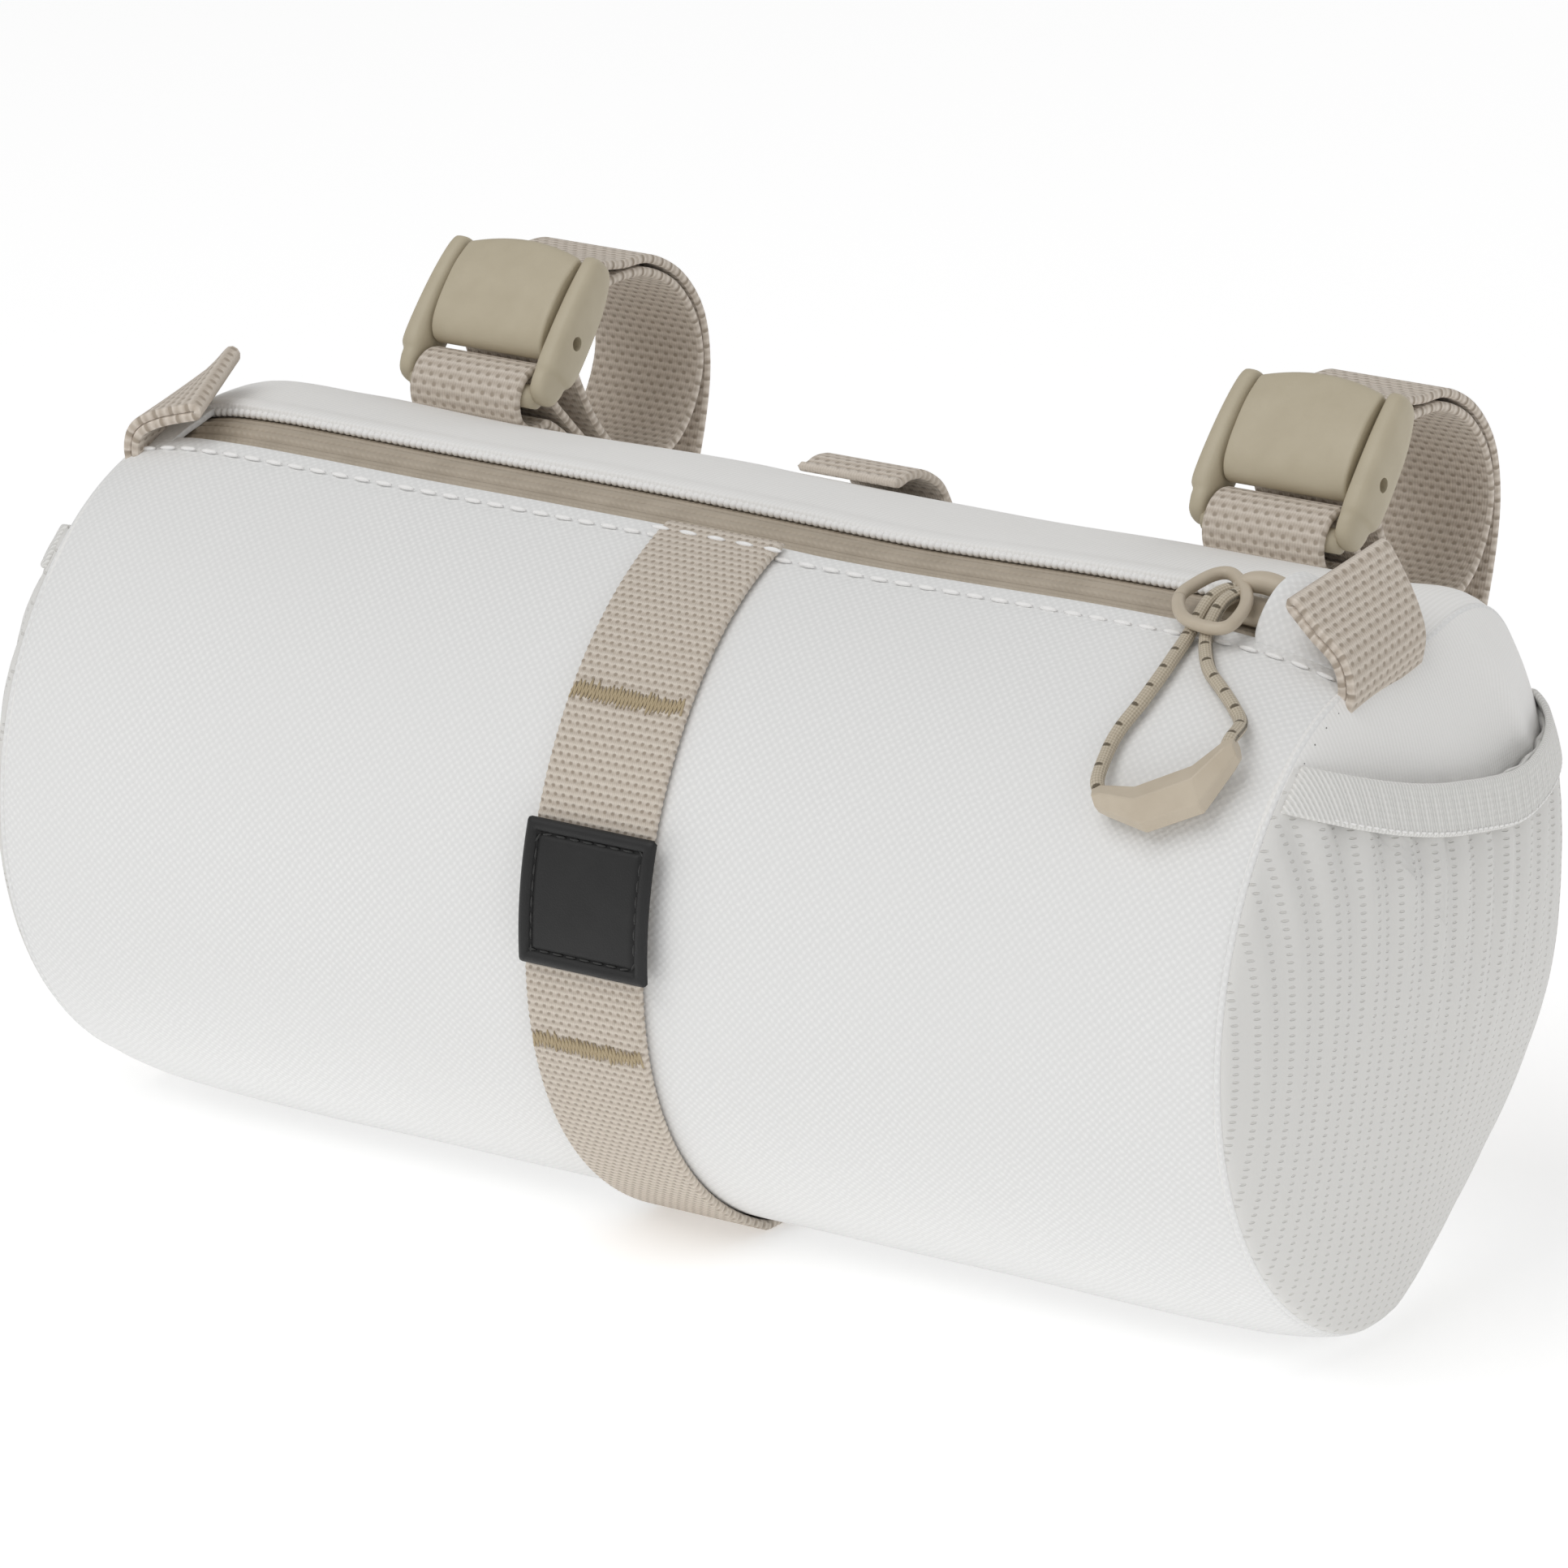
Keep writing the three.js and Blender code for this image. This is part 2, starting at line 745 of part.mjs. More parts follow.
const webEdges = [webbing.centre - webbing.width / 2, webbing.centre, webbing.centre + webbing.width / 2];
const webAngles = span(webbing.topAngle, -90 + baseAngle, webbingRows.front)
  .concat(span(-90 + baseAngle, -90 - baseAngle, webbingRows.base).slice(1))
  .concat(span(-90 - baseAngle, webbing.backAngle, webbingRows.back).slice(1));
addPart(
  'front_webbing',
  plate(
    webEdges,
    webAngles,
    (x, angle) => rollPoint(x + swayed(angle), angle, webbing.rise + webbing.thick),
    (x, angle) => rollPoint(x + swayed(angle), angle, webbing.rise),
  ),
  'strap',
);

addPart(
  'rubber_patch',
  plate(
    span(patch.centre - patch.width / 2, patch.centre + patch.width / 2, patch.columns),
    span(patch.top, patch.bottom, patch.rows),
    (x, angle) => rollPoint(x, angle, patch.to),
    (x, angle) => rollPoint(x, angle, patch.from),
  ),
  'rubber',
);

// Low webbing loop on the back.
function rollSection(x, row) {
  const p = rollPoint(x, row.angle, row.lift);
  return new THREE.Vector2(p.y, p.z);
}

const rearLine = smooth(rearTab.map((row) => rollSection(0, row)), rearLoop.steps);
addPart('rear_tab', alongX(strip(rearLine, webbing.thick), rearLoop.from, rearLoop.to), 'strap');

// Side tabs: two layers joined by a fold at the free end.
function tabOutline(spine) {
  const line = smooth(spine, tab.steps);
  const outer = strip(line, 2 * tab.layerHalf);
  const slotLine = strip(line.slice(0, -1), 2 * tab.slotHalf);
  const half = line.length;
  const left = outer.slice(0, half);
  const right = outer.slice(half);
  const end = line[half - 1];
  const dir = end.clone().sub(line[half - 2]).normalize();
  const tip = end.clone().addScaledVector(dir, tab.tip);
  const slotLeft = slotLine.slice(0, half - 1);
  const slotRight = slotLine.slice(half - 1);
  return left.concat([tip], right, slotRight.slice().reverse(), slotLeft.slice().reverse());
}

for (const { label, side } of [{ label: 'left', side: -1 }, { label: 'right', side: 1 }]) {
  const rows = tabLean[label];
  const front = tabOutline(rows.map((r) => new THREE.Vector2(r.frontX, r.frontZ)));
  const rear = tabOutline(rows.map((r) => new THREE.Vector2(r.rearX, r.rearZ)));
  const middle = front.map((p, i) => p.clone().lerp(rear[i], 0.5));
  const depths = [tab.frontY, (tab.frontY + tab.rearY) / 2, tab.rearY];
  const place = (p, k) => new THREE.Vector3(side * p.x, depths[k], roll.axisHeight + p.y);
  addPart(`side_tab_${label}`, loft([front, middle, rear], place), 'strap');
}

// Zip slider on the coil line, with an arch that holds the ring.
const zipTilt = rad(90 - slot.coil);
function onZip(geometry, x, lift) {
  const p = rollPoint(x, slot.coil, lift);
  geometry.rotateX(zipTilt);
  geometry.translate(p.x, p.y, p.z);
  return geometry;
}

const sliderHalf = slider.width / 2 - slider.bevel;
const sliderPlan = [
  { x: -slider.length / 2, y: -slider.width * slider.nose },
  { x: -slider.length / 4, y: -sliderHalf },
  { x: slider.length / 2, y: -sliderHalf },
  { x: slider.length / 2, y: sliderHalf },
  { x: -slider.length / 4, y: sliderHalf },
  { x: -slider.length / 2, y: slider.width * slider.nose },
].map((p) => new THREE.Vector2(p.x, p.y));
const sliderBlock = new THREE.ExtrudeGeometry(new THREE.Shape(sliderPlan), {
  depth: slider.height - 2 * slider.bevel,
  bevelSize: slider.bevel,
  bevelThickness: slider.bevel,
  bevelSegments: 1,
});
sliderBlock.translate(0, 0, slider.bevel);
const archOutline = archRows.map((row) => new THREE.Vector2(row.x, row.z));
const arch = new THREE.ExtrudeGeometry(new THREE.Shape(archOutline), {
  depth: slider.archWidth,
  bevelEnabled: false,
});
arch.translate(0, 0, -slider.archWidth / 2);
arch.rotateX(Math.PI / 2);
const sliderBody = fromManifold(joined([sliderBlock, arch]));
addPart('zip_slider', onZip(sliderBody, slider.x, slider.lift), 'pull');

// Oval ring, cord and toggle.
const ringBody = new THREE.TorusGeometry(1, 1, ring.sides, ring.steps);
const ringPoints = ringBody.attributes.position;
for (let i = 0; i < ringPoints.count; i += 1) {
  const around = (i % (ring.steps + 1)) * ((2 * Math.PI) / ring.steps);
  const tube = Math.floor(i / (ring.steps + 1)) * ((2 * Math.PI) / ring.sides);
  const out = 1 + (ring.wire * Math.cos(tube)) / ring.halfX;
  const x = ring.halfX * out * Math.cos(around);
  const t = ring.halfT * out * Math.sin(around);
  ringPoints.setXYZ(i, x, t, ring.wire * Math.sin(tube));
}
ringBody.rotateX(rad(90 - ring.angle));
const ringPlace = rollPoint(ring.x, ring.angle, ring.lift);
ringBody.translate(ringPlace.x, ringPlace.y, ringPlace.z);
addPart('zip_pull_ring', ringBody, 'pull');

const toggleUp = new THREE.Vector3(0, Math.sin(rad(toggle.angle)), Math.cos(rad(toggle.angle)));
const toggleOut = new THREE.Vector3(0, -Math.cos(rad(toggle.angle)), Math.sin(rad(toggle.angle)));
const slope = rad(toggle.slope);
const toggleAlong = new THREE.Vector3(Math.cos(slope), 0, 0).addScaledVector(toggleUp, Math.sin(slope));
const toggleAcross = new THREE.Vector3(-Math.sin(slope), 0, 0).addScaledVector(toggleUp, Math.cos(slope));
const toggleCentre = rollPoint(toggle.x, toggle.angle, toggle.lift);

function togglePoint(along, across, out) {
  return toggleCentre
    .clone()
    .addScaledVector(toggleAlong, along)
    .addScaledVector(toggleAcross, across)
    .addScaledVector(toggleOut, out);
}

const toggleOutlines = toggleStations.map((s) =>
  toggleFacets.map((f) => new THREE.Vector2(s.rise + s.half * f.across, s.depth * f.out)),
);
addPart(
  'zip_toggle',
  loft(toggleOutlines, (p, k) => togglePoint(toggleStations[k].along, p.x, p.y)),
  'pull',
);

const cordEnd = (e) => togglePoint(e.along, e.across, e.out);
const cordRoute = [cordEnd(cordEnds[0])].concat(
  [...cordLeft, ...cordHitch, ...cordRight].map((p) => rollPoint(p.x, p.angle, p.lift)),
  [cordEnd(cordEnds[1])],
);
const cordSection = new THREE.Shape(
  span(0, 360, cord.sides)
    .slice(0, -1)
    .map((a) => new THREE.Vector2(cord.radius * Math.cos(rad(a)), cord.radius * Math.sin(rad(a)))),
);
addPart(
  'zip_pull_cord',
  new THREE.ExtrudeGeometry(cordSection, {
    extrudePath: new THREE.CatmullRomCurve3(cordRoute, false, 'centripetal'),
    steps: cord.steps,
  }),
  'cord',
);

// Cam buckles: u runs up the frame, n stands off it toward the front.
const uAxis = new THREE.Vector2(Math.cos(rad(buckle.tilt)), Math.sin(rad(buckle.tilt)));
const nAxis = new THREE.Vector2(-uAxis.y, uAxis.x);

function onBuckle(row) {
  return new THREE.Vector2(buckle.y, buckle.z + roll.axisHeight)
    .addScaledVector(uAxis, row.u)
    .addScaledVector(nAxis, row.n);
}

function offAxis(row) {
  return new THREE.Vector2(row.y, row.z + roll.axisHeight);
}

function rod(row, radius, from, to, sides) {
  const centre = onBuckle(row);
  const outline = span(0, 360, sides)
    .slice(0, -1)
    .map((a) => new THREE.Vector2(Math.cos(rad(a)), Math.sin(rad(a))).multiplyScalar(radius).add(centre));
  return alongX(outline, from, to);
}

function cheek(from) {
  const geometry = new THREE.ExtrudeGeometry(new THREE.Shape(cheekOutline.map(onBuckle)), {
    depth: buckle.cheekThick - 2 * buckle.bevel,
    bevelSize: buckle.bevel,
    bevelThickness: buckle.bevel,
    bevelOffset: -buckle.bevel / 2,
    bevelSegments: 1,
  });
  return turnToX(geometry, from + buckle.bevel);
}

const pivot = { u: 0, n: 0 };
const nose = span(buckle.noseFrom, buckle.noseTo, buckle.noseSteps).map((a) => ({
  u: buckle.barrel * Math.cos(rad(a)),
  n: buckle.barrel * Math.sin(rad(a)),
}));
const leverOutline = nose.concat(leverPlate).map(onBuckle);

function foldLine(x) {
  const centre = onBuckle(lowerBar);
  const turn = foldTurn.map((a) =>
    new THREE.Vector2(Math.cos(rad(a)), Math.sin(rad(a))).multiplyScalar(fold.radius).add(centre),
  );
  return smooth(
    foldUnder
      .map((row) => rollSection(x, row))
      .concat(turn, foldOver.map((row) => rollSection(x, row))),
    fold.steps,
  );
}

function strapLine(x) {
  return smooth(
    strapSeam
      .map((row) => rollSection(x, row))
      .concat(strapLoop.map(offAxis), strapCam.map(onBuckle), strapTail.map(offAxis)),
    strapSteps,
  );
}

for (const { label, side } of [{ label: 'left', side: -1 }, { label: 'right', side: 1 }]) {
  const x = side * buckle.x;
  const outside = buckle.cheekInner + buckle.cheekThick;
  const pinEnd = outside - buckle.pinShort;
  const barEnd = buckle.cheekInner + buckle.barGrip;
  const half = webbing.width / 2;
  const solid = joined([
    cheek(x - outside),
    cheek(x + buckle.cheekInner),
    rod(lowerBar, lowerBar.radius, x - barEnd, x + barEnd, lowerBar.sides),
    rod(clampBar, clampBar.radius, x - barEnd, x + barEnd, clampBar.sides),
  ]);
  const bore = rod(pivot, buckle.holeRadius, x - 2 * outside, x + 2 * outside, buckle.holeSides);
  addPart(`buckle_frame_${label}`, fromManifold(solid.subtract(toManifold(bore))), 'plastic');

  const lever = joined([
    alongX(leverOutline, x - buckle.leverHalf, x + buckle.leverHalf),
    rod(pivot, buckle.pinRadius, x - pinEnd, x + pinEnd, buckle.pinSides),
  ]);
  addPart(`buckle_lever_${label}`, fromManifold(lever), 'plastic');

  const ribbon = (line) => alongX(strip(line, webbing.thick), x - half, x + half);
  addPart(`buckle_loop_${label}`, ribbon(foldLine(x)), 'strap');
  addPart(`handlebar_strap_${label}`, ribbon(strapLine(x)), 'strap');
}

export default part;
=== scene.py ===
import math
from functools import partial

import bmesh
import bpy
import numpy as np
from mathutils import Matrix, Vector


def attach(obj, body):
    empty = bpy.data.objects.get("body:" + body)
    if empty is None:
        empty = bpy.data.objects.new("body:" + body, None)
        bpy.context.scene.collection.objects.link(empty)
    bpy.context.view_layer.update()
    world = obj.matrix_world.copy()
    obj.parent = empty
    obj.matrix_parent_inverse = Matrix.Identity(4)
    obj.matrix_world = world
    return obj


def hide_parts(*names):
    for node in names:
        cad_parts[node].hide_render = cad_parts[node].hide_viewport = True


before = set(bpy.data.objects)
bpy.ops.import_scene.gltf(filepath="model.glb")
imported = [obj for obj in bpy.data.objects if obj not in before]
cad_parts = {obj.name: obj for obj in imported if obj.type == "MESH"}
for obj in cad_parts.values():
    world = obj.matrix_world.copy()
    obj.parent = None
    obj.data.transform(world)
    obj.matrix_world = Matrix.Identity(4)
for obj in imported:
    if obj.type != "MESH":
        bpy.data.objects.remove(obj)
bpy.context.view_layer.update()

mm = 0.001
perMm = 1 / mm  # scale of a pattern that repeats each millimetre
bothEnds = (("left", -1), ("right", 1))

# Sizes in millimetres, angles in degrees counted from the front over the top.
roll = {
    "radius": 54, "rearDepth": 0.87, "axis": 52, "panel": 107,
    "endLean": 0.04, "heelAngle": 240, "heelReach": 58, "heelLean": 0.045, "heelTuck": 2,
    "sagAngle": 88, "sagReach": 38,
}
endDrop = {"soft": 1.6, "x": [0, 84, 95, 102, 104.7, 107], "by": [0, 0, 0.4, 1.3, 2.1, 2.6]}
topSag = {
    "soft": 4.0, "x": [-107, -104.7, -95, -84, -14, 29, 58, 84, 95, 104.7, 107],
    "by": [2.2, 1.4, 0, 0, 0.4, 1.3, 0.4, 0.3, 1.3, 3, 3.8],
}
baseLift = {"soft": 0.6, "x": [0, 11.2, 14, 107], "by": [1.7, 1.7, 0, 0]}
softening = {"reach": 120, "step": 0.5, "taps": 30}
slot = {"front": 72, "coil": 77.3, "rear": 82, "lipEnd": 87, "lipRise": 0.8, "lipFade": 2.5}
clothForms = [
    {"x": -103, "angle": 99, "wide": 8, "turn": 13, "lift": 1.9},
    {"x": -55, "angle": 99, "wide": 17, "turn": 12, "lift": -0.9},
    {"x": 102, "angle": 113, "wide": 8, "turn": 14, "lift": 2.4},
    {"x": 106, "angle": 84, "wide": 7, "turn": 13, "lift": -1.4},
    {"x": 30, "angle": 99, "wide": 26, "turn": 11, "lift": -0.5},
]


# Surface of the roll
def softened(table):
    step, count = softening["step"], softening["taps"]
    x = np.arange(-softening["reach"], softening["reach"] + step, step)
    known = np.abs(x) if min(table["x"]) >= 0 else x
    raw = np.interp(known, table["x"], table["by"])
    taps = np.exp(-0.5 * (np.arange(-count, count + 1) * step / table["soft"]) ** 2)
    return x, np.convolve(np.pad(raw, count, mode="edge"), taps / taps.sum(), mode="valid")


dropLine, sagLine, baseLine = (softened(table) for table in (endDrop, topSag, baseLift))


def hump(angle, middle, reach):
    away = np.abs((angle - middle + 540) % 360 - 180) / reach
    return np.where(away < 1, np.cos(np.minimum(away, 1) * math.pi / 2) ** 2, 0)


def rollPoint(x, angle, lift=0.0):
    x, angle, lift = np.broadcast_arrays(*(np.asarray(a, float) for a in (x, angle, lift)))
    c = np.cos(np.radians(angle))
    heel = hump(angle, roll["heelAngle"], roll["heelReach"])
    share = x / roll["panel"]
    r = roll["radius"] - np.interp(x, *dropLine) - roll["heelTuck"] * heel * share ** 4
    r = r - np.interp(x, *sagLine) * hump(angle, roll["sagAngle"], roll["sagReach"]) + lift
    for form in clothForms:
        turned = (angle - form["angle"] + 540) % 360 - 180
        r = r + form["lift"] * np.exp(-((x - form["x"]) / form["wide"]) ** 2 - (turned / form["turn"]) ** 2)
    y = -r * c * np.where(c < 0, 1 - (1 - roll["rearDepth"]) * c * c, 1)
    z = np.maximum(roll["axis"] + r * np.sin(np.radians(angle)), np.interp(x, *baseLine) - lift)
    lean = (roll["endLean"] * np.maximum(0, -c) + roll["heelLean"] * heel) * share ** 2
    return np.stack([x * (1 - lean), y, z], -1)


def smoothLine(points, count, between=24):
    p = np.asarray(points, float)
    p = np.vstack([2 * p[0] - p[1], p, 2 * p[-1] - p[-2]])
    out = []
    for i in range(1, len(p) - 2):
        t = np.linspace(0, 1, between, endpoint=False)[:, None]
        a, b, c, d = p[i - 1], p[i], p[i + 1], p[i + 2]
        out.append(0.5 * (2 * b + (c - a) * t + (2 * a - 5 * b + 4 * c - d) * t ** 2
                          + (3 * b - a - 3 * c + d) * t ** 3))
    return evenLine(np.vstack(out + [p[-2:-1]]), count)


def smoothLoop(points, count, between=40):
    p = np.asarray(points, float)
    around = smoothLine(np.vstack([p[-3:], p, p[:3]]), between * len(p))
    ends = 5 * between  # both ends overlap by a few points
    start = np.argmin(np.linalg.norm(around[:ends] - p[0], axis=1))
    end = len(around) - ends + np.argmin(np.linalg.norm(around[-ends:] - p[0], axis=1))
    return evenLine(around[start:end + 1], count + 1)[:-1]


def lengths(line):
    return np.concatenate([[0], np.cumsum(np.linalg.norm(np.diff(line, axis=0), axis=1))])


def evenLine(line, count):
    run = lengths(line)
    at = np.linspace(0, run[-1], count)
    return np.stack([np.interp(at, run, line[:, k]) for k in range(line.shape[1])], -1)


# Points from start to end, closer together where the edges are rounded
edgeSteps = np.array([0, 0.08, 0.3, 0.62, 1.0])
thinEdge = 0.06  # share of the thickness left at the very edge


def edged(start, end, step, edge):
    near = edge * edgeSteps
    size = abs(end - start)
    inner = np.linspace(edge, size - edge, max(2, int(round((size - 2 * edge) / step)) + 1))[1:-1]
    return start + np.sign(end - start) * np.concatenate([near, inner, size - near[::-1]])


def centred(half, step, edge):
    return edged(-half, half, step, edge)


def ramp(away, over):
    return np.clip(away / over, 0, 1)


# Half the thickness, rounded off at both ends of a row of points
def rounded(at, thick, edge=None):
    edge = edge or thick / 2
    away = np.minimum(at - at.min(), at.max() - at)
    short = 1 - np.minimum(away / edge, 1)
    return thick / 2 * np.maximum(np.sqrt(1 - short ** 2), thinEdge)


# Mesh pieces
def inScene(name, data):
    item = bpy.data.objects.new(name, data)
    bpy.context.scene.collection.objects.link(item)
    return item


# What the modifiers make, as a mesh of its own
def plainMesh(item):
    bpy.context.view_layer.update()
    return bpy.data.meshes.new_from_object(item.evaluated_get(bpy.context.evaluated_depsgraph_get()))


def newPiece(name, points, faces, uv, material, body="bag"):
    mesh = bpy.data.meshes.new(name)
    mesh.from_pydata((np.asarray(points) * mm).tolist(), [], faces)
    work = bmesh.new()
    work.from_mesh(mesh)
    if work.calc_volume(signed=True) < 0:
        bmesh.ops.reverse_faces(work, faces=work.faces)
    work.to_mesh(mesh)
    work.free()
    layer = mesh.uv_layers.new(name="UVMap")
    corners = np.empty(len(mesh.loops), dtype=np.int32)
    mesh.loops.foreach_get("vertex_index", corners)
    layer.data.foreach_set("uv", np.asarray(uv, np.float32)[corners].ravel())
    mesh.polygons.foreach_set("use_smooth", np.ones(len(mesh.polygons), dtype=bool))
    mesh.materials.append(material)
    return linked(name, mesh, body)


def linked(name, mesh, body="bag"):
    piece = inScene(name, mesh)
    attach(piece, body)
    return piece


def normalsOf(grid, wrap):
    along = np.gradient(grid, axis=0)
    if wrap:
        across = (np.roll(grid, -1, axis=1) - np.roll(grid, 1, axis=1)) / 2
    else:
        across = np.gradient(grid, axis=1)
    n = np.cross(along, across)
    return n / np.maximum(np.linalg.norm(n, axis=-1, keepdims=True), 1e-9)


def flatMap(u, v, rows, cols):
    return np.stack([np.broadcast_to(part, (rows, cols)) for part in (u, v)], -1).reshape(-1, 2)


def gridFaces(rows, cols, wrap):
    at = np.arange(rows * cols).reshape(rows, cols)
    if wrap:
        at = np.concatenate([at, at[:, :1]], axis=1)
    return at, np.stack([at[:-1, :-1], at[:-1, 1:], at[1:, 1:], at[1:, :-1]], -1).reshape(-1, 4)


# A sheet with its thickness on both sides of the centre, closed round its rim. A wrapped one is a disc.
def solidSheet(name, centre, half, u, v, material, wrap=False):
    rows, cols = centre.shape[:2]
    normal = normalsOf(centre, wrap)
    half = np.broadcast_to(np.asarray(half, float), (rows, cols))[..., None]
    outer, inner = centre + normal * half, centre - normal * half
    points = np.concatenate([outer.reshape(-1, 3), inner.reshape(-1, 3)])
    flat = flatMap(u, v, rows, cols)
    at, top = gridFaces(rows, cols, wrap)
    low = top[:, ::-1] + rows * cols
    rims = [at[-1][::-1]] if wrap else [at[0], at[-1][::-1], at[::-1, 0], at[:, -1]]
    sides = [np.stack([r[:-1], r[:-1] + rows * cols, r[1:] + rows * cols, r[1:]], -1) for r in rims]
    faces = np.concatenate([top, low] + sides).tolist()
    if wrap:
        faces.append(at[0, :-1][::-1].tolist())
        faces.append((at[0, :-1] + rows * cols).tolist())
    return newPiece(name, points, faces, np.concatenate([flat, flat]), material)


def ringSkin(name, rings, u, v, material, body="bag"):
    count, sides = rings.shape[:2]
    at, faces = gridFaces(count, sides, True)
    faces = faces.tolist() + [at[0, :-1][::-1].tolist(), at[-1, :-1].tolist()]
    return newPiece(name, rings.reshape(-1, 3), faces, flatMap(u, v, count, sides), material, body)


def tube(name, path, radius, sides, material):
    path = np.asarray(path, float)
    radius = np.broadcast_to(np.asarray(radius, float), (len(path),))[:, None, None]
    along = np.gradient(path, axis=0)
    along /= np.linalg.norm(along, axis=1, keepdims=True)
    first = np.cross(along[0], [0.3, 0.5, 0.81])  # a way that no path here starts in
    side = [first / np.linalg.norm(first)]
    for t in along[1:]:
        s = side[-1] - t * np.dot(side[-1], t)
        side.append(s / np.linalg.norm(s))
    side = np.asarray(side)
    up = np.cross(along, side)
    turn = np.linspace(0, 2 * math.pi, sides, endpoint=False)
    spoke = side[:, None] * np.cos(turn)[:, None] + up[:, None] * np.sin(turn)[:, None]
    ring = path[:, None] + radius * spoke
    return ringSkin(name, ring, radius[:, 0] * turn[None, :], lengths(path)[:, None], material)


# Copy of a CAD piece with its facets kept and its edges eased
def easedCopy(name, node, edge, material):
    work = bmesh.new()
    work.from_mesh(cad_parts[node].data)
    bmesh.ops.remove_doubles(work, verts=work.verts, dist=edge["merge"] * mm)
    flatAngle, sharpAngle = math.radians(edge["flat"]), math.radians(edge["sharp"])
    bmesh.ops.dissolve_limit(work, angle_limit=flatAngle, verts=work.verts, edges=work.edges)
    corners = [e for e in work.edges if len(e.link_faces) == 2 and e.calc_face_angle(0) > sharpAngle]
    bmesh.ops.bevel(work, geom=corners, offset=edge["ease"] * mm, segments=1, profile=0.5,
                    affect="EDGES", clamp_overlap=True)
    for face in work.faces:
        face.smooth = False
    mesh = bpy.data.meshes.new(name)
    work.to_mesh(mesh)
    work.free()
    mesh.materials.clear()
    mesh.materials.append(material)
    return dressed(linked(name, mesh), "pull", node)


def dressed(piece, slotName, *nodes):
    if nodes:
        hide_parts(*nodes)
    return piece


# Materials
def linear(code):
    parts = [int(code[i:i + 2], 16) / 255 for i in (1, 3, 5)]
    return tuple(p / 12.92 if p <= 0.04045 else ((p + 0.055) / 1.055) ** 2.4 for p in parts) + (1.0,)


# Plain values fill the sockets in order, capitalised names are sockets and other names are settings.
def addNode(tree, kind, *values, **named):
    node = tree.nodes.new(kind if "Node" in kind else "ShaderNode" + kind)
    for name, value in named.items():
        if name[0].islower():
            setattr(node, name, value)
    filled = list(zip([socket for socket in node.inputs if socket.enabled], values))
    filled += [(node.inputs[name], value) for name, value in named.items() if name[0].isupper()]
    for socket, value in filled:
        if isinstance(value, bpy.types.Node):
            value = next(result for result in value.outputs if result.enabled)
        if isinstance(value, bpy.types.NodeSocket):
            tree.links.new(value, socket)
        else:
            socket.default_value = linear(value) if isinstance(value, str) else value
    return node


def newMaterial(name, finish):
    material = bpy.data.materials.new(name)
    material.use_nodes = True
    for socket, value in finish.items():
        material.node_tree.nodes["Principled BSDF"].inputs[socket].default_value = value
    return material


# A pattern gives the colour and the height of one finish, from its own map u, v and its noises.
def patterned(name, pattern, look):
    material = newMaterial(name, {
        "Roughness": look["roughness"], "Sheen Weight": look["sheen"], "Specular IOR Level": look["specular"]})
    tree = material.node_tree
    add = partial(addNode, tree)
    coords = add("TexCoord").outputs
    noise = {key: add("TexNoise", coords["Object"], perMm / size, detail)
             for key, (size, detail) in look["noise"].items()}
    u, v = add("SeparateXYZ", coords["UV"]).outputs[:2]
    colour, height = pattern(add, u, v, noise, look)
    relief = add("Bump", Strength=1.0, Distance=look["depth"] * mm, Height=height)
    shader = tree.nodes["Principled BSDF"]
    tree.links.new(colour.outputs[2], shader.inputs["Base Color"])
    tree.links.new(relief.outputs[0], shader.inputs["Normal"])
    return material


def wave(add, value, pitch, phase=0.0):
    turned = add("Math", value, 2 * math.pi / pitch, phase, operation="MULTIPLY_ADD")
    return add("Math", turned, operation="SINE")


def ripple(add, value, pitch, phase=0.0):
    return add("Math", wave(add, value, pitch, phase), 0.5, 0.5, operation="MULTIPLY_ADD")


# Place inside a repeated cell, from -0.5 to 0.5
def inCell(add, value, pitch, shift=0.0):
    part = add("Math", add("Math", value, 1 / pitch, shift, operation="MULTIPLY_ADD"), operation="FRACT")
    return add("Math", part, 0.5, operation="SUBTRACT")


# Every second row or column moves by half a cell.
def halfShift(add, value, pitch, remainder):
    count = add("Math", add("Math", value, 1 / pitch, operation="MULTIPLY"), operation="FLOOR")
    return add("Math", add("Math", count, 2.0, operation=remainder), 0.5, operation="MULTIPLY")


def squared(add, value, factor):
    return add("Math", add("Math", value, factor, operation="MULTIPLY"), 2.0, operation="POWER")


def plainWeave(add, u, v, noise, look):
    u = add("Math", noise["stray"], look["stray"], u, operation="MULTIPLY_ADD")
    v = add("Math", noise["stray"], -look["stray"], v, operation="MULTIPLY_ADD")
    weave = add("Math", wave(add, u, 2 * look["pitch"]), wave(add, v, 2 * look["pitch"]), operation="MULTIPLY")
    over = add("Math", weave, 0.5, 0.5, operation="MULTIPLY_ADD")
    height = add("Math", noise["fuzz"], 0.5, over, operation="MULTIPLY_ADD")
    # Painted light and shade: the colour follows the weave's height, lighter on the raised crossings and darker in
    # the hollows.
    crossing = add("Math", over, 2.0, operation="POWER")
    shade = add("Mix", crossing, look["gap"], look["thread"], data_type="RGBA")
    faded = add("Math", noise["cloud"], look["fade"], operation="MULTIPLY")
    return add("Mix", faded, shade, look["ground"], data_type="RGBA"), height


def ribbedCloth(add, u, v, noise, look):
    ribs = ripple(add, u, look["pitch"])
    cross = add("Math", wave(add, v, look["cross"]), look["crossShare"], ribs, operation="MULTIPLY_ADD")
    height = add("Math", noise["fuzz"], look["fuzzShare"], cross, operation="MULTIPLY_ADD")
    # Painted shade: the colour follows the ribs, darker in the grooves between them.
    colour = add("Mix", ribs, look["gap"], look["thread"], data_type="RGBA")
    if "cloud" in noise:
        colour = add("Mix", noise["cloud"], colour, look["thread"], data_type="RGBA")
    return colour, height


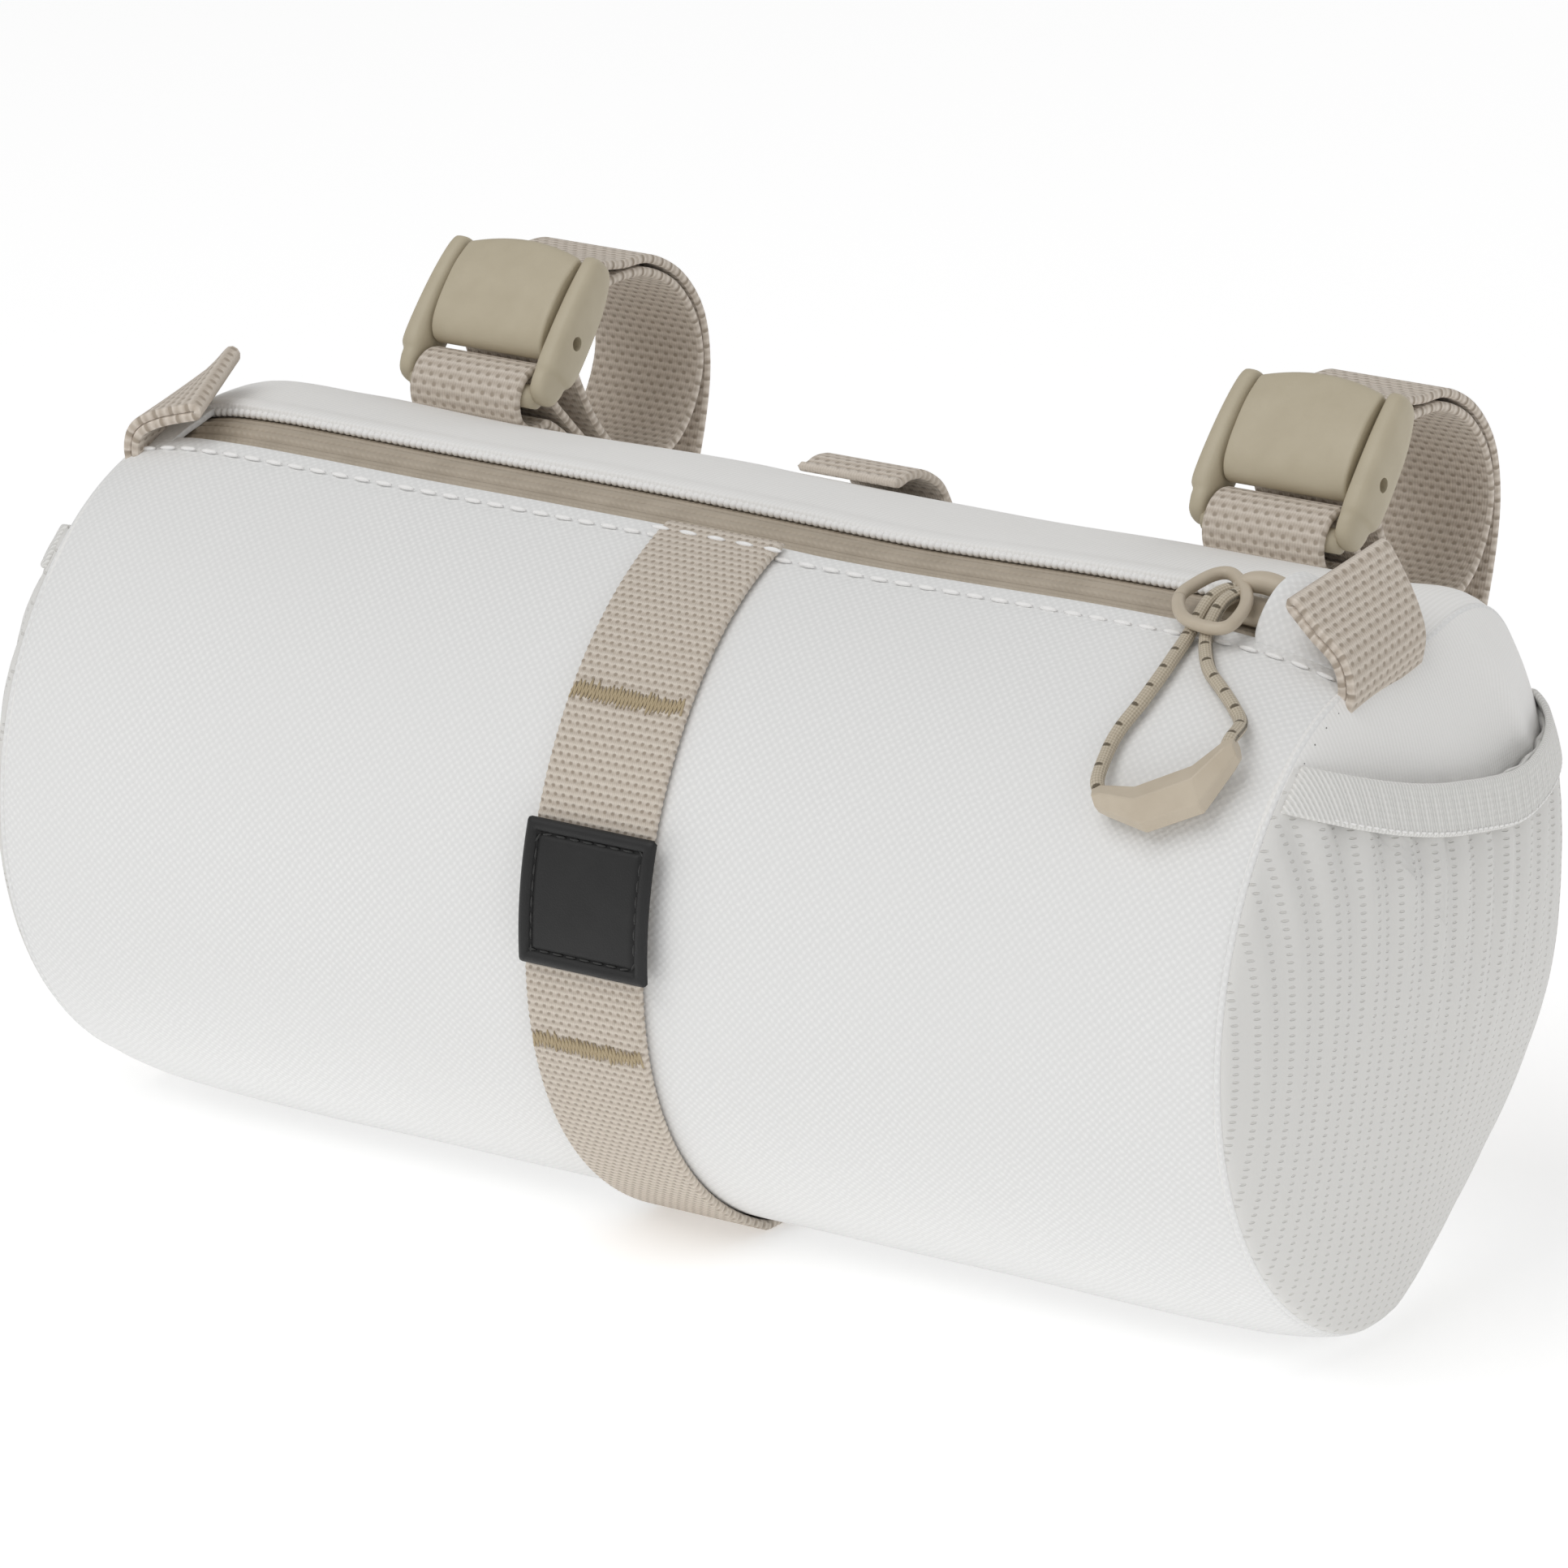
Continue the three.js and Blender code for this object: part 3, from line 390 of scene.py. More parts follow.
def basketWeave(add, u, v, noise, look):
    odd = halfShift(add, v, look["row"], "FLOORED_MODULO")
    across = add("Math", inCell(add, u, look["column"], odd), operation="ABSOLUTE")
    beside = add("Math", across, 0.5, operation="SUBTRACT")
    up = inCell(add, v, look["row"])
    away = add("Math", squared(add, beside, 1 / look["wide"]), squared(add, up, 1 / look["tall"]), operation="ADD")
    cloth = add("MapRange", away, 0.1, 1.7, interpolation_type="SMOOTHSTEP")
    ridge = ripple(add, v, look["row"], 0.3)
    yarn = add("Math", wave(add, u, look["column"] / 4), 0.2, ridge, operation="MULTIPLY_ADD")
    height = add("Math", yarn, 0.55, add("Math", cloth, 0.3, operation="MULTIPLY"), operation="MULTIPLY_ADD")
    height = add("Math", noise["fuzz"], 0.5, height, operation="MULTIPLY_ADD")
    # Painted highlight: each row's yarn ridge, just above the pits, is mixed towards a lighter colour, broken up by
    # noise.
    lit = add("Math", yarn, 0.5, add("Math", noise["fuzz"], 0.5, operation="MULTIPLY"), operation="MULTIPLY_ADD")
    thread = add("Mix", lit, look["thread"], look["worn"], data_type="RGBA")
    # Painted shade: the pits between the yarns take the darker hollow colour.
    return add("Mix", cloth, look["gap"], thread, data_type="RGBA"), height


def knitMesh(add, u, v, noise, look):
    across = inCell(add, u, look["column"])
    up = inCell(add, v, look["row"], halfShift(add, u, look["column"], "MODULO"))
    wide = squared(add, across, look["column"] / look["holeWide"])
    tall = squared(add, up, look["row"] / look["holeTall"])
    away = add("Math", add("Math", wide, tall, operation="ADD"), operation="SQRT")
    cloth = add("MapRange", away, 0.6, 1.25, interpolation_type="SMOOTHSTEP")
    ribs = add("Math", add("Math", across, operation="ABSOLUTE"), 0.6, operation="MULTIPLY")
    height = add("Math", noise["fuzz"], 0.2, add("Math", cloth, ribs, operation="ADD"), operation="MULTIPLY_ADD")
    # Painted shade: the holes are painted in two greys, mixed by noise, for the shade seen through them.
    deep = add("Mix", noise["cloud"], look["hole"], look["deep"], data_type="RGBA")
    return add("Mix", cloth, deep, look["thread"], data_type="RGBA"), height


def laminate(add, u, v, noise, look):
    slant = add("Math", v, 0.6, u, operation="MULTIPLY_ADD")
    bite = add("Math", wave(add, slant, look["cross"]), 0.4, 0.6, operation="MULTIPLY_ADD")
    ribs = add("Math", ripple(add, v, look["pitch"]), bite, operation="MULTIPLY")
    height = add("Math", noise["fuzz"], 0.7, ribs, operation="MULTIPLY_ADD")
    shade = add("Mix", noise["cloud"], look["dark"], look["light"], data_type="RGBA")
    # Painted highlight: the colour is lighter along the raised ribs.
    lit = add("Math", ribs, 0.5, operation="MULTIPLY")
    return add("Mix", lit, shade, look["light"], data_type="RGBA"), height


def grained(add, u, v, noise, look):
    return add("Mix", noise["cloud"], look["dark"], look["light"], data_type="RGBA"), noise["grain"]


def braided(add, u, v, noise, look):
    left = wave(add, add("Math", u, v, operation="ADD"), look["pitch"])
    right = wave(add, add("Math", u, v, operation="SUBTRACT"), look["pitch"])
    braid = add("Math", add("Math", left, right, operation="MULTIPLY"), 0.5, 0.5, operation="MULTIPLY_ADD")
    near = squared(add, inCell(add, v, look["speck"]), look["speckShort"])
    beside = squared(add, inCell(add, u, look["speckTurn"]), look["speckThin"])
    plain = add("MapRange", add("Math", near, beside, operation="ADD"), 0.5, 1.1)
    # Painted shade: the colour follows the braid's height, darker in the hollows between strands.
    shade = add("Mix", braid, look["gap"], look["thread"], data_type="RGBA")
    height = add("Math", noise["fuzz"], 0.3, braid, operation="MULTIPLY_ADD")
    return add("Mix", plain, look["dark"], shade, data_type="RGBA"), height


# Sizes are in millimetres, and a noise has its size and detail. The weaves are drawn a little coarser than real
# yarn, so that they show.
# Woven polyester: a dry white face whose crossing yarns make a faint slanting grain; its colour carries painted light
# and shade, lighter on the raised crossings and darker in the hollows.
whiteWeave = patterned("white_woven_polyester", plainWeave, {
    "roughness": 0.88, "sheen": 0.15, "specular": 0.3, "pitch": 0.68, "stray": 0.9, "fade": 0.7, "depth": 0.05,
    "noise": {"stray": (1.8, 2), "fuzz": (0.5, 2), "cloud": (22, 3)},
    "gap": "#e5e5e4", "thread": "#f5f5f4", "ground": "#e9e9e8"})
# Coated polyester: a closed, smoother white with hardly a rib, and a soft gleam on its folds. The faint ribs have
# painted shade in their grooves.
coatedWeave = patterned("white_coated_polyester", ribbedCloth, {
    "roughness": 0.7, "sheen": 0.1, "specular": 0.4, "pitch": 0.7, "cross": 0.56, "crossShare": 0.2,
    "fuzzShare": 0.8, "depth": 0.03, "noise": {"fuzz": (1.2, 3), "cloud": (16, 3)},
    "gap": "#e8e7e4", "thread": "#f3f2f0"})
# Strap webbing: thick dull yarns in bricks, with painted shade in a pit at each crossing and a painted highlight
# along each row's ridge.
beigeWebbing = patterned("beige_polyester_webbing", basketWeave, {
    "roughness": 0.88, "sheen": 0.15, "specular": 0.25, "row": 1.32, "column": 1.8, "wide": 0.22, "tall": 0.24,
    "noise": {"fuzz": (0.55, 3)}, "depth": 0.22, "gap": "#aa9d8e", "thread": "#b8ab9c", "worn": "#e4dace"})
# The front band is woven closer: smaller pits, with the same painted shade and highlight, that read as an even
# pebbled face.
fineWebbing = patterned("fine_beige_polyester_webbing", basketWeave, {
    "roughness": 0.88, "sheen": 0.15, "specular": 0.25, "row": 1.15, "column": 1.36, "wide": 0.24, "tall": 0.24,
    "noise": {"fuzz": (0.55, 3)}, "depth": 0.2, "gap": "#a89b8c", "thread": "#bbae9f", "worn": "#e6ddd1"})
# Knitted mesh: upright columns of small holes on a soft off-white; the holes are not cut but painted grey, as painted
# shade seen through them.
whiteMesh = patterned("white_knitted_mesh", knitMesh, {
    "roughness": 0.85, "sheen": 0.2, "specular": 0.3, "column": 2.7, "row": 1.15, "holeWide": 0.42,
    "holeTall": 0.18, "depth": 0.1, "noise": {"fuzz": (0.5, 2), "cloud": (9, 3)},
    "hole": "#d9d8d4", "deep": "#cfcdc8", "thread": "#dfdedb"})
# Woven elastic: close upright ribs, brighter and drier than the mesh, with painted shade in the grooves between them.
whiteElastic = patterned("white_woven_elastic", ribbedCloth, {
    "roughness": 0.8, "sheen": 0.25, "specular": 0.3, "pitch": 0.62, "cross": 0.868, "crossShare": 0.25,
    "fuzzShare": 0.4, "depth": 0.12, "noise": {"fuzz": (0.5, 3)}, "gap": "#dddcd8", "thread": "#f0efec"})
# Laminated tape: a satin film with long ribs, nicked by the coil beneath, with a painted highlight along the raised
# ribs.
beigeLaminate = patterned("beige_laminated_zip_tape", laminate, {
    "roughness": 0.5, "sheen": 0.0, "specular": 0.45, "pitch": 0.75, "cross": 1.1, "depth": 0.09,
    "noise": {"fuzz": (0.8, 3), "cloud": (6, 3)}, "dark": "#9d9180", "light": "#c2b6a5"})
# Moulded acetal: an even satin from a lightly grained mould.
beigePlastic = patterned("beige_moulded_acetal", grained, {
    "roughness": 0.5, "sheen": 0.0, "specular": 0.4, "depth": 0.025,
    "noise": {"grain": (0.35, 4), "cloud": (4, 3)}, "dark": "#b7ac94", "light": "#c4baa3"})
# The soft pull is smoother and paler, so its edges catch more light.
pullPlastic = patterned("beige_soft_pull_moulding", grained, {
    "roughness": 0.45, "sheen": 0.0, "specular": 0.45, "depth": 0.02,
    "noise": {"grain": (0.3, 4), "cloud": (4, 3)}, "dark": "#bbae9a", "light": "#ccc0ad"})
# Moulded rubber: close to black, with a dull grit that greys where it faces the light.
blackRubber = patterned("black_moulded_rubber", grained, {
    "roughness": 0.52, "sheen": 0.0, "specular": 0.4, "depth": 0.05,
    "noise": {"grain": (0.28, 4), "cloud": (4, 3)}, "dark": "#1a1a1a", "light": "#252525"})
# Braided cord: fine slanting strands with painted shade in the hollows between them and a dark fleck at each turn.
beigeBraid = patterned("beige_braided_cord", braided, {
    "roughness": 0.8, "sheen": 0.2, "specular": 0.3, "pitch": 0.9, "speck": 3.6, "speckTurn": 3.14,
    "speckShort": 11, "speckThin": 3.6, "depth": 0.12, "noise": {"fuzz": (0.4, 3)},
    "gap": "#b3a792", "thread": "#d3c8b5", "dark": "#6a604f"})
# Sewing threads: dull, with the trace of their twist as a fine grain.
sewing = {"roughness": 0.75, "sheen": 0.2, "specular": 0.3, "depth": 0.05,
          "noise": {"grain": (0.25, 2), "cloud": (0.25, 2)}}
whiteThread, goldenThread, darkThread, greyThread = (
    patterned(name + "_polyester_thread", grained, {**sewing, "light": light, "dark": dark})
    for name, light, dark in (
        ("white", "#fcfbfa", "#efeeec"), ("golden", "#c2b193", "#a59472"),
        ("dark", "#4a4a49", "#2c2c2b"), ("grey", "#8f8f8d", "#777775")))
print("materials ready")

# Camera and studio
view = {"azimuth": 34.14, "elevation": 17.51, "distance": 1321.65, "focal": 11147.66, "width": 1932,
        "target": (-0.55, 0, 61.1), "sensor": 36, "near": 0.05, "far": 60}
turn = math.radians(view["azimuth"])
tilt = math.radians(view["elevation"])
back = Vector((math.sin(turn) * math.cos(tilt), -math.cos(turn) * math.cos(tilt), math.sin(tilt)))
lens = bpy.data.cameras.new("camera")
lens.sensor_width = view["sensor"]
lens.sensor_fit = "HORIZONTAL"
lens.lens = view["sensor"] * view["focal"] / view["width"]
lens.clip_start = view["near"]
lens.clip_end = view["far"]
camera = inScene("camera", lens)
camera.location = (Vector(view["target"]) + back * view["distance"]) * mm
camera.rotation_euler = (math.pi / 2 - tilt, 0, turn)
bpy.context.scene.camera = camera

# Lamps and floor are in metres.
studio = [
    {"name": "key", "place": (-0.31, -1.16, 1.85), "size": 1.6, "power": 17.8},
    {"name": "rear", "place": (0.3, 1.9, 1.2), "size": 1.4, "power": 6},
    {"name": "side", "place": (1.9, -0.6, 0.9), "size": 1.2, "power": 2.6},
]
lampAim = Vector((0, 0, 0.05))
sky = {"Color": (1, 1, 1, 1), "Strength": 0.42}
for lamp in studio:
    data = bpy.data.lights.new(lamp["name"], "AREA")
    data.size = lamp["size"]
    data.energy = lamp["power"]
    light = inScene(lamp["name"], data)
    light.location = lamp["place"]
    aim = lampAim - Vector(lamp["place"])
    light.rotation_euler = aim.to_track_quat("-Z", "Y").to_euler()

world = bpy.data.worlds.new("studio")
bpy.context.scene.world = world
world.use_nodes = True
for socket, value in sky.items():
    world.node_tree.nodes["Background"].inputs[socket].default_value = value
bpy.context.scene.view_settings.view_transform = "Standard"

ground = {"half": 9, "height": -0.0002, "finish": {
    "Roughness": 0.9, "Sheen Weight": 0.0, "Specular IOR Level": 0.1, "Base Color": (0.9, 0.9, 0.9, 1),
    "Emission Color": (1, 1, 1, 1), "Emission Strength": 0.36}}
signs = ((-1, -1), (1, -1), (1, 1), (-1, 1))
corners = [(x * ground["half"], y * ground["half"], ground["height"]) for x, y in signs]
floorMesh = bpy.data.meshes.new("floor")
floorMesh.from_pydata(corners, [], [(0, 1, 2, 3)])
floorMesh.materials.append(newMaterial("pale_floor", ground["finish"]))
inScene("floor", floorMesh)
print("camera and studio ready")

# Pull cord: from the ring, down through the toggle and up to the ring again.
toggle = {"x": 92.2, "angle": 39.6, "lift": 3.3, "slope": 30}


def togglePoint(along, across, out):
    a = math.radians(toggle["angle"])
    s = math.radians(toggle["slope"])
    up = np.array([0, math.sin(a), math.cos(a)])
    outward = np.array([0, -math.cos(a), math.sin(a)])
    side = np.array([1.0, 0, 0])
    middle = rollPoint(toggle["x"], toggle["angle"], toggle["lift"])
    return (middle + along * (side * math.cos(s) + up * math.sin(s))
            + across * (up * math.cos(s) - side * math.sin(s)) + out * outward)


cord = {"thick": 2, "sides": 14, "points": 260}
cordDown = [(83.4, 78.4, 2.3), (82.4, 76.8, 3.2), (81.6, 73.6, 3.2), (81.4, 70, 2.1), (81.6, 66.2, 1.3),
            (81.9, 62, 1.4), (82.0, 58.5, 1.5), (81.5, 52.9, 1.5), (80.4, 47.8, 1.5), (80.2, 43.8, 1.7)]
cordThrough = [(-9.9, 4.4, 0.1), (-8.8, 1.9, 0), (-4.2, -1.4, 0), (0.2, -1.7, 0), (4.6, -1.2, 0), (8.2, 1.2, 0),
               (9.8, 4.0, 0.1)]
cordUp = [(97.4, 52.4, 1.9), (95.1, 55, 1.6), (91.7, 57.9, 1.5), (88.4, 60.6, 1.5), (85.8, 64.2, 1.4),
          (84.1, 67.6, 1.5), (83.6, 70.6, 2.3), (83.7, 73.6, 3.2), (84.1, 76.6, 3.0), (83.7, 78.2, 2.4)]
cordLine = smoothLine([rollPoint(*p) for p in cordDown] + [togglePoint(*p) for p in cordThrough]
                      + [rollPoint(*p) for p in cordUp], cord["points"])
pullCord = tube("pull_cord", cordLine, cord["thick"] / 2, cord["sides"], beigeBraid)
dressed(pullCord, "cord", "zip_pull_cord")
toggleEdge = {"merge": 0.002, "flat": 0.6, "sharp": 8, "ease": 0.16}
pullToggle = easedCopy("pull_toggle", "zip_toggle", toggleEdge, pullPlastic)


# Cloth of the roll
crumple = {"soft": 0.16, "softLong": 19, "softDrift": 47, "sway": 1.7, "fine": 0.07, "fineLong": 7.3,
           "fineDrift": 23}


def wrinkles(x, angle):
    a = np.radians(angle)
    soft = np.sin(x / crumple["softLong"] + crumple["sway"] * np.sin(2 * a))
    soft = soft * np.sin(3 * a + x / crumple["softDrift"])
    fine = np.sin(x / crumple["fineLong"] + 4 * a) * np.sin(9 * a - x / crumple["fineDrift"])
    return crumple["soft"] * soft + crumple["fine"] * fine


body = {"thick": 1.7, "step": 1.5, "end": 105.1, "endEdge": 0.8, "edge": 0.45, "hemLow": -1.2, "coatedTo": 205,
        "seam": 68.4, "draw": 0.24, "drawWide": 0.6, "drawPitch": 3.9, "heldX": 0.5, "heldHalf": 10, "heldFade": 6}
bodyX = centred(body["end"], body["step"], body["endEdge"])
bodyAngle = edged(slot["rear"], 360 + slot["front"], body["step"], body["edge"])
gridX, gridAngle = np.meshgrid(bodyX, bodyAngle, indexing="ij")
front = gridAngle - 360
lip = slot["lipRise"] * ramp(slot["lipEnd"] - gridAngle, slot["lipFade"])
pulled = 1 + 0.5 * np.sin(gridX * 2 * math.pi / body["drawPitch"])  # deeper at each stitch
drawn = body["draw"] * np.exp(-((front - body["seam"]) / body["drawWide"]) ** 2) * pulled
held = ramp(np.abs(gridX - body["heldX"]) - body["heldHalf"], body["heldFade"])
top = lip + held * wrinkles(gridX, gridAngle) - drawn
low = np.where(gridAngle < slot["lipEnd"], body["hemLow"], top - body["thick"])
# Share of the thickness, 1 away from the edges
edge = np.minimum.outer(rounded(bodyX, 2, body["endEdge"]), rounded(bodyAngle, 2, body["edge"]))
skin = rollPoint(gridX, gridAngle, (top + low) / 2)
half = edge * (top - low) / 2
bodyCloth = solidSheet("body_cloth", skin, half, gridX, np.radians(gridAngle) * roll["radius"], whiteWeave)
bodyCloth.data.materials.append(coatedWeave)
coated = np.tile(bodyAngle[:-1] < body["coatedTo"], len(bodyX) - 1).astype(np.int32)
index = np.zeros(len(bodyCloth.data.polygons), dtype=np.int32)
index[:2 * len(coated)] = np.concatenate([coated, coated])
bodyCloth.data.polygons.foreach_set("material_index", index)
dressed(bodyCloth, "cloth", "body_panel")

# Zip
zipTape = {"half": 103, "step": 1.5, "edge": 0.5, "thick": 1, "points": 46}
zipProfile = [(66, -2.5), (70, -2.3), (71.6, -1.6), (72.4, -1.2), (73.3, -1.1), (73.9, -0.95), (74.4, -1.1),
              (74.9, -0.95), (75.4, -1.0), (75.9, -0.6), (76.4, -0.4), (76.8, -0.5), (76.98, -1.0)]
zipX = centred(zipTape["half"], zipTape["step"], zipTape["edge"])
profile = smoothLine(zipProfile, zipTape["points"])
for label, turned in (("front", False), ("rear", True)):
    angle = 2 * slot["coil"] - profile[:, 0] if turned else profile[:, 0]
    sheet = rollPoint(zipX[:, None], angle[None, :], profile[None, :, 1] - zipTape["thick"] / 2)
    run = lengths(sheet[0])
    tape = solidSheet("zip_" + label, sheet, zipTape["thick"] / 2, zipX[:, None], run[None, :], beigeLaminate)
    dressed(tape, "zip", "zip_tape_" + label)

# Cloth over each zip end. Rows: angle, start, rise at the free edge, rise further on
zipEnds = {
    "left": {"end": -103.4, "fade": 8, "rows": [
        (70.4, -98.6, -0.3, -0.3), (74, -98.2, 0, 0), (77.3, -98, 0, 0), (80.4, -98.2, 0, 0),
        (83.4, -98.6, -0.3, -0.3)]},
    "right": {"end": 103.6, "fade": 8, "rows": [
        (70.4, 89.9, -0.3, -0.3), (72.5, 89.2, 0.9, 0.1), (75, 89.3, 2.9, 0.4), (78, 89.6, 4.6, 0.7),
        (81, 89.9, 5.2, 1.1), (84, 89.8, 4.6, 1.2), (87, 89, 3.2, 0.8), (90, 88.6, 1.4, 0.3),
        (93, 88.4, -0.5, -0.5)]},
}
zipEndCut = {"points": 48, "step": 0.05, "edge": 0.03, "side": 2, "thick": 0.9}
for label, flap in zipEnds.items():
    rows = smoothLine(flap["rows"], zipEndCut["points"])
    angle, start, edgeRise, restRise = (rows[None, :, k] for k in range(4))
    share = edged(0, 1, zipEndCut["step"], zipEndCut["edge"])
    x = start + (flap["end"] - start) * share[:, None]
    lift = restRise + (edgeRise - restRise) * np.exp(-((x - start) / flap["fade"]) ** 2)
    sides = rounded(np.arange(len(rows)), zipEndCut["thick"], zipEndCut["side"])
    half = np.minimum.outer(rounded(share, zipEndCut["thick"], zipEndCut["edge"]), sides)
    arc = np.radians(angle) * roll["radius"]
    piece = solidSheet("zip_end_" + label, rollPoint(x, angle, lift), half, x, arc, whiteWeave)
    dressed(piece, "coated", "zip_garage_" + label)
print("roll and zip ready")

# End panels, mesh pockets and hems
pocket = {"bulge": 10, "lowShare": 0.25, "fullFrom": -45, "fullOver": 65, "round": 0.75, "hemLow": 30,
          "hemCurve": 0.0037, "hemFall": 0.14, "wall": 1.2, "off": 0.3, "fill": 0.62, "tuck": 1.6, "close": 0.75,
          "tuckPower": 10, "gather": 0.9, "gatherFrom": 6, "gatherOver": 20, "gatherRim": 0.05, "pleat": 1.1,
          "pleatSway": 0.9, "pleatDrift": 7, "pleatMean": 0.67, "netShare": 0.45}
endFold = {"from": -14, "over": 11, "y": 11.7, "z": 49.2, "slopeY": 0.9, "slopeZ": 0.44, "lift": 0.8, "wide": 2.4,
           "wave": 0.3, "waveY": 4.5, "waveZ": 6, "fade": 0.15, "deep": 2}
hem = {"height": 7.5, "above": 0.7, "thick": 1.1, "off": 0.3, "edge": 0.55, "step": 0.75, "run": 76, "runStep": 0.38,
       "rib": 0.1, "ribPitch": 0.42, "reach": 48, "reachPoints": 480, "reachShare": 0.995}
welt = {"x": 105.35, "lift": -0.5, "thick": 1.1, "points": 240, "sides": 10}
disc = {"spokes": 220, "hub": 0.012, "reach": 0.975, "rings": 46, "rim": [0.985, 0.993, 0.998, 1.0], "radius": 50,
        "thick": 2}


def endPoint(side, station, mid, share, angle):
    rim = rollPoint(side * station, angle)
    x = rim[..., 0] * share ** 2 + side * mid * (1 - share ** 2)
    return np.stack([x, rim[..., 1] * share, roll["axis"] + (rim[..., 2] - roll["axis"]) * share], -1)


def pocketPoint(side, off, share, angle):
    station = roll["panel"] + pocket["off"] + off
    p = endPoint(side, station, station, share, angle)
    high = ramp(p[..., 2] - roll["axis"] - pocket["fullFrom"], pocket["fullOver"])
    full = pocket["lowShare"] + (1 - pocket["lowShare"]) * high
    p[..., 0] += side * pocket["bulge"] * full * np.maximum(0, 1 - share ** 2) ** pocket["round"]
    p[..., 0] -= side * (pocket["tuck"] + pocket["close"] * off) * share ** pocket["tuckPower"]
    return p


def rimShare(side, angle):
    rim = rollPoint(side * roll["panel"], angle)
    y, z = rim[..., 1], rim[..., 2] - roll["axis"]
    height = z + pocket["hemFall"] * y
    inside = height ** 2 - 4 * pocket["hemCurve"] * y * y * pocket["hemLow"]
    share = 2 * pocket["hemLow"] / np.maximum(height + np.sqrt(np.maximum(inside, 0)), 1e-6)
    return np.where((z <= 0) | (height <= 0) | (inside < 0), 1, np.minimum(1, share))


def hemLine(y):
    return pocket["hemLow"] + pocket["hemCurve"] * y * y - pocket["hemFall"] * y


def hemShare(side, y, drop):
    z = hemLine(y) + hem["above"] - drop
    angle = np.degrees(np.arctan2(z, -y))
    rim = rollPoint(side * roll["panel"], angle)
    return np.hypot(y, z) / np.hypot(rim[..., 1], rim[..., 2] - roll["axis"]), angle


def hemPoint(side, off, y, drop):
    share, angle = hemShare(side, y, drop)
    return pocketPoint(side, off, np.minimum(share, 1), angle)


def hemEnd(side, drop, toward):
    y = np.linspace(0, hem["reach"] * toward, hem["reachPoints"])
    return np.array([np.interp(hem["reachShare"], hemShare(side, y, d)[0], y) for d in drop])


def endSurface(side, off, share, angle):
    p = endPoint(side, roll["panel"] + off, roll["panel"] + endFold["deep"] + off, share, angle)
    y, z = p[..., 1], p[..., 2] - roll["axis"]
    above = ramp(z - hemLine(y) - endFold["from"], endFold["over"])
    above = above ** 2 * (3 - 2 * above)
    filled = pocket["fill"] * pocket["bulge"] * np.maximum(0, 1 - share ** 2) ** pocket["round"]
    crease = (y - endFold["y"]) * endFold["slopeY"] + (z - endFold["z"]) * endFold["slopeZ"]
    folds = endFold["lift"] * np.exp(-(crease / endFold["wide"]) ** 2)
    folds = folds - endFold["wave"] * np.sin(y / endFold["waveY"] + z / endFold["waveZ"])
    p[..., 0] += side * above * (filled + folds * ramp(1 - share, endFold["fade"]))
    p[..., 0] -= side * pocket["tuck"] * share ** pocket["tuckPower"]
    return p


spokes = np.linspace(0, 360, disc["spokes"], endpoint=False)
for label, side in bothEnds:
    share = np.concatenate([np.linspace(disc["hub"], disc["reach"], disc["rings"]), disc["rim"]])
    s, a = np.meshgrid(share, spokes, indexing="ij")
    panel = endSurface(side, -1, s, a)
    y, z = panel[..., 1], panel[..., 2] - roll["axis"]
    mirrored = np.concatenate([-share[::-1], share]) * disc["radius"]  # both halves, so only the rim is round
    half = np.broadcast_to(rounded(mirrored, disc["thick"])[len(share):, None], s.shape)
    endCloth = solidSheet("end_cloth_" + label, panel, half, y, z, coatedWeave, wrap=True)
    dressed(endCloth, "coated", "end_panel_" + label)
    rim = rollPoint(side * welt["x"], np.linspace(-90, 270, welt["points"]), welt["lift"])
    dressed(tube("end_welt_" + label, rim, welt["thick"] / 2, welt["sides"], whiteWeave), "cloth")

    inner = s * rimShare(side, a)
    flat = pocketPoint(side, pocket["wall"] / 2, inner, a)
    y, z = flat[..., 1], flat[..., 2] - roll["axis"]
    below = hemLine(y) - z
    gather = np.exp(-np.maximum(below - pocket["gatherFrom"], 0) / pocket["gatherOver"])
    gather = gather * ramp(1 - s, pocket["gatherRim"])
    pleats = np.sin(y / pocket["pleat"] + pocket["pleatSway"] * np.sin(y / pocket["pleatDrift"]))
    flat[..., 0] += side * gather * pocket["gather"] * (pleats - pocket["pleatMean"])
    net = solidSheet("pocket_mesh_" + label, flat, half * pocket["netShare"], y, z, whiteMesh, wrap=True)
    dressed(net, "mesh", "mesh_pocket_" + label)

    drop = edged(0, hem["height"], hem["step"], hem["edge"])
    run = edged(0, hem["run"], hem["runStep"], hem["edge"])
    front, back = (hemEnd(side, drop, toward)[:, None] for toward in (-1, 1))
    y = front + (back - front) * (run / hem["run"])[None, :]
    d = np.broadcast_to(drop[:, None], y.shape)
    ribs = hem["rib"] * np.sin(y / hem["ribPitch"]) * np.sin(d / hem["height"] * math.pi)
    band = hemPoint(side, pocket["wall"] + hem["off"] + hem["thick"] / 2 + ribs, y, d)
    half = np.minimum.outer(rounded(drop, hem["thick"]), rounded(run, hem["thick"]))
    edge = solidSheet("pocket_edge_" + label, band, half, y, d, whiteElastic)
    dressed(edge, "elastic", "pocket_hem_" + label)
print("ends and pockets ready")


# Webbing
webbing = {"width": 20, "thick": 1.4, "edge": 0.5, "end": 0.4, "step": 1.0, "centre": 0.5, "top": 71.3,
           "back": -210, "rise": 0.3, "points": 480, "scallop": 0.009, "sway": 2.5, "swayAngle": 22, "swayReach": 85}


